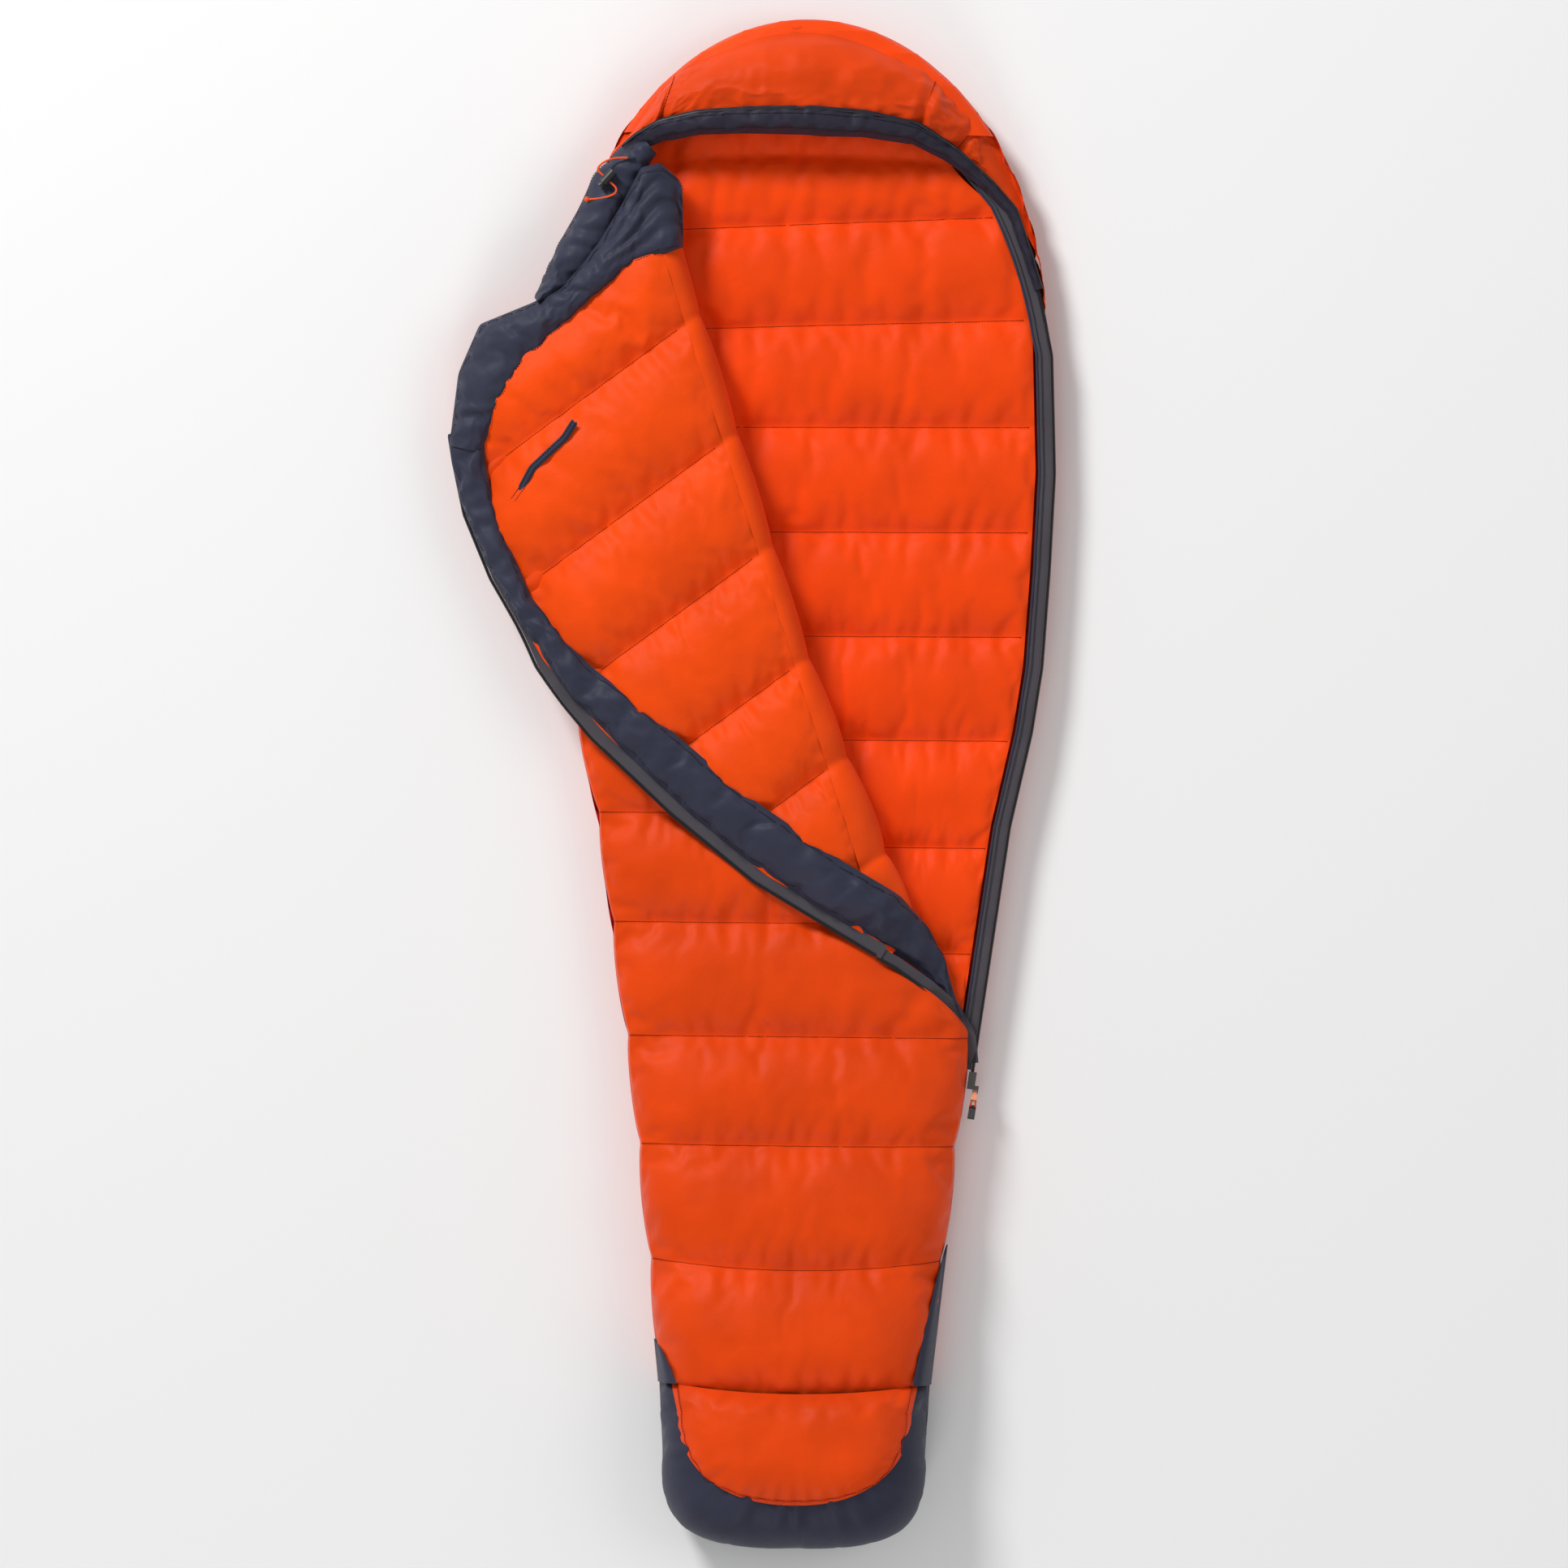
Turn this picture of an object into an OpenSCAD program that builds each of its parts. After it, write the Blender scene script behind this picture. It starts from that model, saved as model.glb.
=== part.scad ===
// Mummy sleeping bag with hood, full-length side zip and a quilted top panel folded open.
// The bag lies flat on z = 0, +Y points to the head and +X to the zip side.

/* [Bag] */
// Overall length from the crown of the hood to the toes
bag_length = 2200; // [2180:5:2220]
// Widest width, across the shoulders
shoulder_width = 700; // [690:2:710]
// Width at the ankles
ankle_width = 374; // [366:2:380]
// Thickness of the quilted back
back_height = 44; // [43:0.5:44]
// Height of the closed tube at the toes
toe_height = 170; // [150:2:180]
// Height of the hood's front lip above the floor
hood_height = 118; // [110:1:120]

/* [Top panel] */
// Height of the top panel where it lies on the back
panel_top = 88; // [87:0.5:88]
// Thickness of the folded flap away from its seams
flap_thickness = 34; // [32:0.5:34]
// Radius of the rounded fold between the fixed panel and the flap
fold_radius = 20; // [18:0.5:20]
// How far the flap's free corner droops past the side of the bag
flap_droop = 46; // [30:2:50]

/* [Fabric] */
// Thickness of a shell or lining layer
fabric = 3.5; // [2.5:0.5:3.5]
// Gap left between neighbouring layers
gap = 0.3; // [0.3:0.05:0.4]

/* [Zip] */
// Width of one zip tape
tape_width = 18; // [16:1:20]
// Width of one coil
coil_width = 5.2; // [4.8:0.1:5.4]
// Height of one coil
coil_height = 4.8; // [4.4:0.1:4.8]
// Length of the pull tab
tab_length = 20; // [16:1:24]

/* [Hidden] */

outer_orange = "orangered";
lining_orange = "tomato";
navy = "darkslateblue";
fill_white = "ivory";
tape_grey = "slategray";
coil_black = "black";

// ---- Small helpers ----
function mix(a, b, t) = a + (b - a) * t;
function clamp01(t) = max(0, min(1, t));
function smooth(t) = let (c = clamp01(t)) c * c * (3 - 2 * c);
function steps(first, last, count) = [for (i = [0:count]) mix(first, last, i / count)];

// A soft layer as a closed solid: columns us, rows vs, and at(u, v) = [x, y, low z, high z].
// x grows with u and y grows with v.
module layer(us, vs, at) {
  nu = len(us);
  nv = len(vs);
  grid = [for (v = vs) [for (u = us) at(u, v)]];
  low = [for (row = grid) for (p = row) [p[0], p[1], p[2]]];
  high = [for (row = grid) for (p = row) [p[0], p[1], p[3]]];
  top = nu * nv;
  function id(i, j) = j * nu + i;
  function quad(a, b, c, d) = [[a, b, c], [a, c, d]];
  upper_faces = [
    for (j = [0:nv - 2]) for (i = [0:nu - 2])
      each quad(top + id(i, j), top + id(i, j + 1), top + id(i + 1, j + 1), top + id(i + 1, j))
  ];
  lower_faces = [
    for (j = [0:nv - 2]) for (i = [0:nu - 2])
      each [
        [id(i, j), id(i + 1, j + 1), id(i, j + 1)],
        [id(i, j), id(i + 1, j), id(i + 1, j + 1)]
      ]
  ];
  rim = concat(
    [for (i = [0:nu - 1]) id(i, 0)],
    [for (j = [1:nv - 1]) id(nu - 1, j)],
    [for (i = [nu - 2:-1:0]) id(i, nv - 1)],
    [for (j = [nv - 2:-1:1]) id(0, j)]
  );
  walls = [
    for (k = [0:len(rim) - 1])
      let (a = rim[k], b = rim[(k + 1) % len(rim)])
      each quad(a, top + a, top + b, b)
  ];
  polyhedron(concat(low, high), concat(upper_faces, lower_faces, walls));
}

// A flat strip that follows path(y) from one y to another, between two offsets in x.
module strip(rows, path, left, right) {
  polygon(concat(
    [for (y = rows) [path(y) + left, y]],
    [for (k = [len(rows) - 1:-1:0]) [path(rows[k]) + right, rows[k]]]
  ));
}

// A round cord swept along its route.
module cord(route, diameter, sides = 8) {
  count = len(route);
  function unit(v) = v / norm(v);
  function along(k) = unit(route[min(k + 1, count - 1)] - route[max(k - 1, 0)]);
  rings = [
    for (k = [0:count - 1])
      let (t = along(k), side = unit(cross(t, [0, 0, 1])), up = cross(side, t))
      for (j = [0:sides - 1])
        route[k] + diameter / 2 * (cos(360 * j / sides) * side + sin(360 * j / sides) * up)
  ];
  skin = [
    for (k = [0:count - 2]) for (j = [0:sides - 1])
      let (a = k * sides + j, b = k * sides + (j + 1) % sides)
      each [[a, b, b + sides], [a, b + sides, a + sides]]
  ];
  ends = [
    [for (j = [sides - 1:-1:0]) j],
    [for (j = [0:sides - 1]) (count - 1) * sides + j]
  ];
  polyhedron(rings, concat(skin, ends));
}

// ---- Plan outline of the bag ----
half_length = bag_length / 2;
shoulder_half = shoulder_width / 2;
hood_depth = 450;
toe_depth = 140;
crown_y = half_length - hood_depth;
toe_y = toe_depth - half_length;
crown_half = shoulder_half - 7;
zip_low = [238, -440];
zip_high = [291, -60];
outline = [
  [toe_y, ankle_width / 2], [-858, 193], [-671, 213], [zip_low[1], zip_low[0]],
  [zip_high[1], zip_high[0]], [76, 321], [170, 335], [310, 344], [450, shoulder_half],
  [crown_y, crown_half]
];
function half_width(y) =
  y > crown_y ? crown_half * sqrt(1 - pow((y - crown_y) / hood_depth, 2))
  : y < toe_y ? ankle_width / 2 * pow(1 - pow((toe_y - y) / toe_depth, 3), 1 / 3)
  : lookup(y, outline);

// 0 along the bag, rising to 1 at the toe end or at the crown end
function toe_end(y) = clamp01((toe_y - y) / toe_depth);
function crown_end(y) = clamp01((y - half_length + toe_depth) / toe_depth);

// ---- Back: flat underneath, with rounded sides ----
rim_low = 38;
flat_share = 0.7;
back_columns = [-1, -0.97, -0.9, -0.8, -flat_share, -0.35, 0, 0.35, flat_share, 0.8, 0.9, 0.97, 1];
toe_rows = [for (t = [88, 75, 60, 45, 30, 15]) toe_y - toe_depth * sin(t)];
hood_hinge_y = 925;
hood_slit = 1;
// A seam across the back parts the leg piece from the body piece.
leg_seam = -500;
leg_rows = concat(toe_rows, [toe_y, -858, -760, -671, -560, leg_seam]);
body_rows = [zip_low[1], -345, -250, -155, zip_high[1], 76, 170, 310, 450, 550, crown_y, 740, 820, 880,
  hood_hinge_y - hood_slit / 2];
hood_rows = concat(
  [hood_hinge_y + hood_slit / 2, 945, 970, 1000],
  [for (t = [52, 63, 74, 83]) crown_y + hood_depth * sin(t)]
);

function underside(u, y) =
  let (edge = max(abs(u), toe_end(y), crown_end(y)), s = clamp01((edge - flat_share) / (1 - flat_share)))
  rim_low * (1 - sqrt(1 - s * s));
function back_at(u, y, low, high) = [u * half_width(y), y, low, high];
function back_shell_at(u, y) = back_at(u, y, underside(u, y), underside(u, y) + fabric);
function back_fill_at(u, y) =
  back_at(u, y, underside(u, y) + fabric + gap, back_height - fabric / 2 - gap);
function back_lining_at(u, y) = back_at(u, y, back_height - fabric / 2, back_height);

// A flat sheet fused into the body piece's underside, so that its level part is one face
base_half = 100;
base_low = -480;
base_high = 800;

module back_shell() {
  color(outer_orange) {
    layer(back_columns, concat([leg_seam + gap], body_rows), function(u, y) back_shell_at(u, y));
    translate([-base_half, base_low, 0]) cube([2 * base_half, base_high - base_low, fabric / 2]);
  }
}

module leg_back_shell() {
  color(outer_orange) layer(back_columns, leg_rows, function(u, y) back_shell_at(u, y));
}

module back_fill() {
  color(fill_white)
    layer(back_columns, concat(leg_rows, body_rows), function(u, y) back_fill_at(u, y));
}

module back_lining() {
  color(lining_orange)
    layer(back_columns, concat(leg_rows, body_rows), function(u, y) back_lining_at(u, y));
}

// ---- Top panel, with its height over the legs and feet ----
seam_top = 58;
panel_edge = seam_top - back_height - 0.4;
panel_thickness = panel_top - back_height - 2;
crest = [
  [toe_y - 20, toe_height], [-900, toe_height - 10], [-700, 135], [-500, 115],
  [-380, 98], [-280, 90], [-200, panel_top]
];
function loft(u) = sqrt(max(0, 1 - pow(abs(u), 4)));
function top_z(x, y) =
  let (toe = sqrt(1 - pow(toe_end(y), 4)))
  seam_top + (lookup(y, crest) - seam_top) * loft(x / half_width(y)) * toe;
function top_depth(x, y) =
  panel_edge + (panel_thickness - panel_edge) * loft(x / half_width(y)) * sqrt(1 - pow(toe_end(y), 4));

// The fold runs straight from the neck down to the zip; s is measured along it, p to its left.
fold_start = [-247, 884];
fold_end = [168, -360];
fold_run = (fold_end - fold_start) / norm(fold_end - fold_start);
fold_left = [fold_run[1], -fold_run[0]];
fold_low = 1180;
fold_high = 22;
fold_pitch = 42;
fold_axis_z = panel_top - fold_radius;
function fold_xy(s, p) = fold_start + s * fold_run + p * fold_left;
function fold_edge_x(y) =
  let (s = (y - fold_start[1] - fold_left[1]) / fold_run[1]) fold_xy(s, 1)[0];

mouth_high = -262;
mouth_low = -356;
function panel_right(y) =
  y >= mouth_high ? fold_edge_x(y)
  : y <= mouth_low ? half_width(y)
  : mix(fold_edge_x(mouth_high), half_width(mouth_low), (mouth_high - y) / (mouth_high - mouth_low));
panel_bottom = -859;
panel_rows = [panel_bottom, -760, -671, -560, zip_low[1], mouth_low, -310, mouth_high, -160, zip_high[1],
  76, 170, 310, 450, 550, crown_y, 740, 820, 892];
panel_columns = [0, 0.04, 0.12, 0.25, 0.42, 0.6, 0.78, 0.9, 0.96, 1];

// x and y of a point of the fixed top panel, u from its left side to its right edge
function panel_x(u, y) = mix(-half_width(y), panel_right(y), u);
function panel_at(u, y, low, high) =
  let (x = panel_x(u, y), z = top_z(x, y), base = z - top_depth(x, y))
  [x, y, low < 0 ? z + low : base + low, high <= 0 ? z + high : base + high];

module top_panel_shell() {
  color(outer_orange) layer(panel_columns, panel_rows, function(u, y) panel_at(u, y, -fabric, 0));
}

module top_panel_fill() {
  color(fill_white)
    layer(panel_columns, panel_rows, function(u, y) panel_at(u, y, fabric + gap, -fabric - gap));
}

module top_panel_lining() {
  color(lining_orange) layer(panel_columns, panel_rows, function(u, y) panel_at(u, y, 0, fabric));
}

// ---- Footbox ----
foot_rows = concat(toe_rows, [toe_y, -910, panel_bottom - 1]);
foot_columns = [-1, -0.95, -0.85, -0.7, -0.4, 0, 0.4, 0.7, 0.85, 0.95, 1];
function foot_at(u, y, low, high) =
  let (x = u * half_width(y), z = top_z(x, y), base = z - top_depth(x, y))
  [x, y, low < 0 ? z + low : base + low, high <= 0 ? z + high : base + high];

module footbox_shell() {
  color(navy) layer(foot_columns, foot_rows, function(u, y) foot_at(u, y, -fabric, 0));
}

module footbox_fill() {
  color(fill_white)
    layer(foot_columns, foot_rows, function(u, y) foot_at(u, y, fabric + gap, -fabric - gap));
}

module footbox_lining() {
  color(lining_orange) layer(foot_columns, foot_rows, function(u, y) foot_at(u, y, 0, fabric));
}

// The orange insert has a rounded end towards the toes.
insert_end = -1030;
insert_half = 165;
insert_lift = 5;
insert_rows = [for (t = [80, 60, 45, 30, 15, 0]) -930 + (insert_end + 930) * sin(t)];
function insert_width(y) =
  y > -930 ? insert_half : insert_half * sqrt(1 - pow((y + 930) / (insert_end + 930), 2));

module foot_insert_panel() {
  color(outer_orange)
    layer(steps(-1, 1, 8), concat(insert_rows, [-895, panel_bottom - 1]),
      function(u, y)
        let (x = u * insert_width(y), z = top_z(x, y) + insert_lift)
        [x, y, z, z + 2]);
}

// ---- Zip on the back ----
tape_z = back_height + gap;
tape_height = 1.8;
zip_inset = [[620, 0], [718, 17], [834, 37], [890, 62]];
zip_rows = concat([-320, zip_high[1], 76, 170, 310, 450, 550, 620, 670, 718, 760, 800, 834, 865, 890]);
function zip_x(y) = half_width(y) + 6 - lookup(y, zip_inset);
coil_z = 46.8;
slider_turn = atan2(zip_high[0] - zip_low[0], zip_high[1] - zip_low[1]);
slider_rest_y = -425;
coil_middle = coil_width / 2 + gap;

// Below the opening the tape narrows to the part that stands out of the closed seam.
closed_tape = 4;
closed_rows = [-437, -345];
module back_zip_tape() {
  color(tape_grey) translate([0, 0, tape_z]) linear_extrude(tape_height) {
    strip(concat([closed_rows[1]], zip_rows), function(y) zip_x(y), -tape_width, 0);
    strip(closed_rows, function(y) zip_x(y), -closed_tape, 0);
  }
}

module back_zip_coil() {
  color(coil_black) translate([0, 0, coil_z - coil_height / 2]) linear_extrude(coil_height)
    strip(concat([-431], zip_rows), function(y) zip_x(y),
      gap, gap + coil_width);
}

module zip_bottom_stop() {
  color("black") on_slider() translate([-2.8, -10.5, -2.7]) cube([5.6, 3.8, 5.4]);
}

module zip_top_stop() {
  color("black") translate([zip_x(890) + gap, 890.3, coil_z - 2.7]) cube([coil_width, 4, 5.4]);
}

binding_width = 20;
binding_height = 3;
module zip_edge_binding() {
  color(navy) translate([0, 0, tape_z]) linear_extrude(binding_height)
    strip(zip_rows, function(y) zip_x(y) - tape_width - gap, -binding_width, 0);
}

// ---- Shoulder side panel, between the zip and the outline ----
module shoulder_side_panel() {
  color(outer_orange)
    layer([0, 0.1, 0.3, 0.5, 0.7, 0.9, 1], [690, 730, 770, 810, 850, 885, 905],
      function(u, y)
        let (inner = zip_x(y) + 9, outer = half_width(y) - 1, width = outer - inner)
        [mix(inner, outer, u), y, back_height + gap, back_height + 8 + width * 0.4 * sqrt(sin(180 * u))]);
}

// ---- Folded flap: u runs from its zip edge to the fold, v from the zip's end to the neck ----
flap_z = panel_top + 2;
flap_low = 1185;
flap_edge = [
  [300, 385], [400, 396], [500, 388], [640, 358], [760, 309], [900, 233], [1030, 149], [flap_low, 14]
];
flap_neck = [[0, 22], [80, 85], [145, 128], [250, 140], [300, 158], [340, 210], [385, 312]];
flap_columns = [0, 0.04, 0.1, 0.18, 0.28, 0.42, 0.6, 0.8, 0.94, 1];
flap_rows = [0, 0.05, 0.12, 0.2, 0.28, 0.36, 0.44, 0.52, 0.6, 0.68, 0.76, 0.84, 0.9, 0.95, 1];
function flap_sp(u, v) =
  let (s = mix(flap_low, lookup((1 - u) * 385, flap_neck), v))
  [s, mix(lookup(s, flap_edge), 1, u)];
function droop(x, y) =
  let (past = clamp01((-x - half_width(y) + 70) / 230)) flap_droop * pow(past, 1.5);
// Thickness of the quilt: thin along the zip and the neck, where the tube and the collar sit
function flap_depth(s, p) =
  let (from_zip = lookup(s, flap_edge) - p, from_neck = s - lookup(p, flap_neck))
  12 + (flap_thickness - 12) * smooth((from_zip - 70) / 60) * smooth((from_neck - 75) / 60);
function flap_face(s, p, low, high) =
  let (xy = fold_xy(s, p), base = flap_z - droop(xy[0], xy[1]), top = base + flap_depth(s, p))
  [xy[0], xy[1], low < 0 ? top + low : base + low, high <= 0 ? top + high : base + high];
function flap_at(u, v, low, high) = let (q = flap_sp(u, v)) flap_face(q[0], q[1], low, high);
pocket_gap = 10;
lining = 3;

module flap_shell() {
  color(outer_orange) layer(flap_columns, flap_rows, function(u, v) flap_at(u, v, 0.001, fabric));
}

// The filling stops short of the thin border along the zip and the neck.
fill_border = 115;
fill_low = 1050;
fill_reach = 270;
module flap_fill() {
  color(fill_white)
    layer(flap_columns, flap_rows,
      function(u, v)
        let (s = mix(fill_low, lookup((1 - u) * fill_reach, flap_neck) + fill_border, v),
          p = mix(lookup(s, flap_edge) - fill_border, 1, u))
        flap_face(s, p, fabric + 4, -lining - pocket_gap));
}

module flap_lining() {
  color(lining_orange) layer(flap_columns, flap_rows, function(u, v) flap_at(u, v, -lining, 0));
}

// A padded tube or collar that lies on the lining, rounded across u
pillow_lift = 7;
function pillow(s, p, u, height) =
  let (xy = fold_xy(s, p), z = flap_z - droop(xy[0], xy[1]) + flap_depth(s, p))
  [xy[0], xy[1], z + pillow_lift, z + pillow_lift + 2 + height * sqrt(max(0, sin(180 * u)))];

tube_near = 20;
tube_far = 92;
module zip_draft_tube() {
  color(navy)
    layer(steps(0, 1, 6), steps(0, 1, 14),
      function(u, v)
        let (edge_s = mix(1080, 440, v), p = lookup(edge_s, flap_edge) - mix(tube_near, tube_far, u))
        pillow(edge_s, p, u, 10));
}

collar_depth = 100;
module flap_draft_collar() {
  color(navy)
    layer(steps(0, 1, 12), steps(0, 1, 6),
      function(u, v)
        let (p = mix(372, 2, u), s = lookup(p, flap_neck) + mix(collar_depth, 3, v))
        pillow(s, p, v, 14));
}

module flap_zip_tape() {
  color(tape_grey)
    layer([0, 1], steps(0, 1, 16),
      function(u, v)
        let (s = mix(1150, 330, v), q = flap_face(s, lookup(s, flap_edge) - mix(0.5, tape_width - 2, u), 0, 0))
        [q[0], q[1], q[3] + gap, q[3] + gap + tape_height]);
}

module flap_zip_coil() {
  color(coil_black)
    layer([0, 1], steps(0, 1, 16),
      function(u, v)
        let (s = mix(1150, 330, v), p = lookup(s, flap_edge), q = flap_face(s, p, 0, 0),
          xy = fold_xy(s, p + mix(2.5 + coil_width, 2.5, u)))
        [xy[0], xy[1], q[3] - coil_height + 1, q[3] + 1]);
}

pocket_mouth = [[324, 199], [408, 321]];
function pocket_sp(u, v, depth) =
  let (along = mix(pocket_mouth[1], pocket_mouth[0], v),
    run = (pocket_mouth[1] - pocket_mouth[0]) / norm(pocket_mouth[1] - pocket_mouth[0]))
  along + depth * u * [run[1], -run[0]];

module inner_pocket_binding() {
  color(navy)
    layer([0, 1], steps(0, 1, 6),
      function(u, v)
        let (q = pocket_sp(1 - u, v, 11), f = flap_face(q[0], q[1], 0, 0))
        [f[0], f[1], f[3] + 2.5, f[3] + 4.5]);
}

module inner_pocket_bag() {
  color(navy)
    layer(steps(0, 1, 6), steps(0, 1, 6),
      function(u, v)
        let (q = pocket_sp(1 - u, v, 110), f = flap_face(q[0], q[1], 0, 0))
        [f[0], f[1], f[3] - lining - pocket_gap + 4.5, f[3] - lining - 4.5]);
}

// ---- Rounded fold between the fixed panel and the flap ----
module fold_bar(radius, past = 0) {
  length = fold_low - fold_high + 2 * past;
  for (z = [0, fold_pitch])
    translate([0, -past, z]) rotate([-90, 0, 0]) cylinder(r = radius, h = length, $fn = 48);
  translate([-radius, -past, 0]) cube([2 * radius, length, fold_pitch]);
}

module at_fold() {
  foot = fold_xy(fold_low, -fold_radius - 0.5);
  translate([foot[0], foot[1], fold_axis_z])
    rotate([0, 0, atan2(fold_run[0], -fold_run[1])]) children();
}

// Half of the skin round the fold: side -1 faces the fixed panel, side 1 faces the opening.
module fold_skin(side) {
  at_fold() difference() {
    fold_bar(fold_radius);
    fold_bar(fold_radius - fabric, 1);
    translate([side > 0 ? gap - 50 : -gap, -1, -50]) cube([50, 1300, 150]);
  }
}

module fold_shell() {
  color(outer_orange) fold_skin(-1);
}

module fold_lining() {
  color(lining_orange) fold_skin(1);
}

module fold_fill() {
  color(fill_white) at_fold() fold_bar(fold_radius - fabric - gap);
}

// ---- Draft collar on the fixed left part of the panel ----
left_collar_edge = [[0, -20], [60, -5], [93, 33], [135, 69], [169, 107], [190, 130]];
function left_collar_at(u, v) =
  let (p = mix(3, 188, v), s = mix(lookup(p, flap_neck) - 4, lookup(p, left_collar_edge), u),
    xy = fold_xy(s, p), z = top_z(xy[0], xy[1]) + 1.5)
  [xy[0], xy[1], z, z + 3 + 20 * sqrt(max(0, sin(180 * u)))];

module left_draft_collar() {
  color(navy) layer(steps(0, 1, 8), steps(0, 1, 10), function(u, v) left_collar_at(u, v));
}

// ---- Hood ----
lip_y = 934;
dome_rows = concat([lip_y, 945, 970, 1000], [for (t = [52, 63, 74, 83]) crown_y + hood_depth * sin(t)]);
left_seam = -0.84;
right_seam = 0.72;
dome_columns = [-1, -0.97, -0.92, left_seam, -0.65, -0.4, 0, 0.4, 0.6, right_seam, 0.85, 0.94, 0.98, 1];
function dome_rise(u, y) =
  loft(u) * sqrt(max(0, 1 - pow((y - lip_y) / (half_length - lip_y), 3)));
function dome_z(u, y) = seam_top + (hood_height - seam_top) * dome_rise(u, y);
function dome_depth(u, y) = panel_edge + (40 - panel_edge) * dome_rise(u, y);
function dome_at(u, y, low, high) =
  let (z = dome_z(u, y), base = z - dome_depth(u, y))
  [u * half_width(y), y, low < 0 ? z + low : base + low, high <= 0 ? z + high : base + high];

module hood_outer_panel(first, last) {
  columns = [for (u = dome_columns) if (u > first && u < last) u];
  color(outer_orange)
    layer(concat([first], columns, [last]), dome_rows, function(u, y) dome_at(u, y, -fabric, 0));
}

module hood_crown_panel() {
  hood_outer_panel(left_seam, right_seam);
}

module hood_left_panel() {
  hood_outer_panel(-1, left_seam - 0.002);
}

module hood_right_panel() {
  hood_outer_panel(right_seam + 0.002, 1);
}

module hood_fill() {
  color(fill_white)
    layer(dome_columns, dome_rows, function(u, y) dome_at(u, y, fabric + gap, -fabric - gap));
}

module hood_lining() {
  color(lining_orange) layer(dome_columns, dome_rows, function(u, y) dome_at(u, y, 0, fabric));
}

module hood_back_shell() {
  color(outer_orange) layer(back_columns, hood_rows, function(u, y) back_shell_at(u, y));
}

module hood_back_fill() {
  color(fill_white) layer(back_columns, hood_rows, function(u, y) back_fill_at(u, y));
}

module hood_back_lining() {
  color(lining_orange) layer(back_columns, hood_rows, function(u, y) back_lining_at(u, y));
}

band_columns = [-0.93, left_seam, -0.65, -0.4, 0, 0.4, 0.6, right_seam, 0.85];
module hood_face_band() {
  color(navy)
    layer(band_columns, [928.5, 932, 938, 945, 955, 966],
      function(u, y)
        let (z = dome_z(u, max(y, lip_y)) + gap, bulge = sqrt(max(0, sin(180 * (y - 928.5) / 37.5))))
        [u * half_width(y), y, z, z + 2 + 5 * bulge]);
}

cord_size = 3;
module hood_channel_drawcord() {
  color(outer_orange)
    cord([for (u = steps(-0.9, 0.8, 24)) [u * half_width(931), 931, dome_z(u, lip_y) - 3]], cord_size);
}

// ---- Zip slider, drawn about the middle of the coil with its travel along +Y ----
module on_slider() {
  translate([zip_x(slider_rest_y) + coil_middle, slider_rest_y, coil_z])
    rotate([0, 0, -slider_turn]) children();
}

slider_half_height = 6.2;
pin_x = 8;
pin_y = -14.5;
pin_z = 7;
lug_gap = 5;
lug_width = 1.6;
pin_radius = 1.1;
tab_drop = 35;
module zip_slider_body() {
  color("dimgray") on_slider() {
    difference() {
      translate([-4.6, -12, -slider_half_height]) cube([11, 25, 2 * slider_half_height]);
      translate([-6, -13, -3]) cube([9.4, 27, 6]);
    }
    // The bridge reaches out past the coil, so that the pull hangs beside the bag.
    translate([-4.6, -12, slider_half_height - 0.5]) cube([pin_x + lug_gap / 2 + lug_width + 4.6, 6, 2.5]);
    for (x = [pin_x - lug_gap / 2 - lug_width, pin_x + lug_gap / 2]) {
      translate([x, pin_y, pin_z]) rotate([0, 90, 0]) cylinder(r = 2.2, h = lug_width, $fn = 32);
      translate([x, pin_y, pin_z - 0.5]) cube([lug_width, 4, 1.7]);
    }
    translate([pin_x - lug_gap / 2 - lug_width, pin_y, pin_z]) rotate([0, 90, 0])
      cylinder(r = pin_radius, h = lug_gap + 2 * lug_width, $fn = 32);
  }
}

// Everything beyond the pin hangs at the tab's angle.
module on_tab() {
  on_slider() translate([pin_x, pin_y, pin_z]) rotate([tab_drop, 0, 0]) children();
}

// The tab's far end is an eye, and the cord's loop turns in it.
eye_y = 3.5 - tab_length;
eye_radius = 2.2;
eye_half = 1.8;
loop_radius = 1.2;
loop_length = 12;
strand_x = 3.2;

module along_x(radius, half, y) {
  translate([-half, y, 0]) rotate([0, 90, 0]) cylinder(r = radius, h = 2 * half, $fn = 32);
}

module zip_pull_tab() {
  color("sienna") on_tab() difference() {
    union() {
      along_x(eye_radius, 2.1, 0);
      translate([-2.1, -5, -0.8]) cube([4.2, 5, 1.6]);
      translate([-3.5, eye_y + 4, -0.8]) cube([7, tab_length - 12, 1.6]);
      translate([-eye_half, eye_y, -0.8]) cube([2 * eye_half, 5, 1.6]);
      along_x(eye_radius, eye_half, eye_y);
    }
    along_x(pin_radius + 0.25, 3, 0);
    along_x(loop_radius + 0.25, 3, eye_y);
  }
}

module zip_pull_cord() {
  color(outer_orange) on_tab() {
    along_x(loop_radius, strand_x, eye_y);
    for (x = [-strand_x, strand_x]) {
      translate([x, eye_y, 0]) sphere(r = loop_radius, $fn = 32);
      translate([x, eye_y, 0]) rotate([90, 0, 0]) cylinder(r = loop_radius, h = loop_length, $fn = 32);
    }
  }
}

grip_width = 10;
grip_length = 17;
grip_half_height = 4.2;
module zip_pull_grip() {
  color("black") on_tab() translate([0, eye_y - loop_length + 1, 0]) difference() {
    union() {
      translate([-grip_width / 2, -grip_length, -grip_half_height])
        cube([grip_width, grip_length, 2 * grip_half_height]);
      along_x(grip_half_height, grip_width / 2, -grip_length);
    }
    along_x(2.2, grip_width, -14);
    for (x = [-strand_x, strand_x])
      translate([x, 1, 0]) rotate([90, 0, 0]) cylinder(r = loop_radius + 0.1, h = 2.1, $fn = 32);
  }
}

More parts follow.
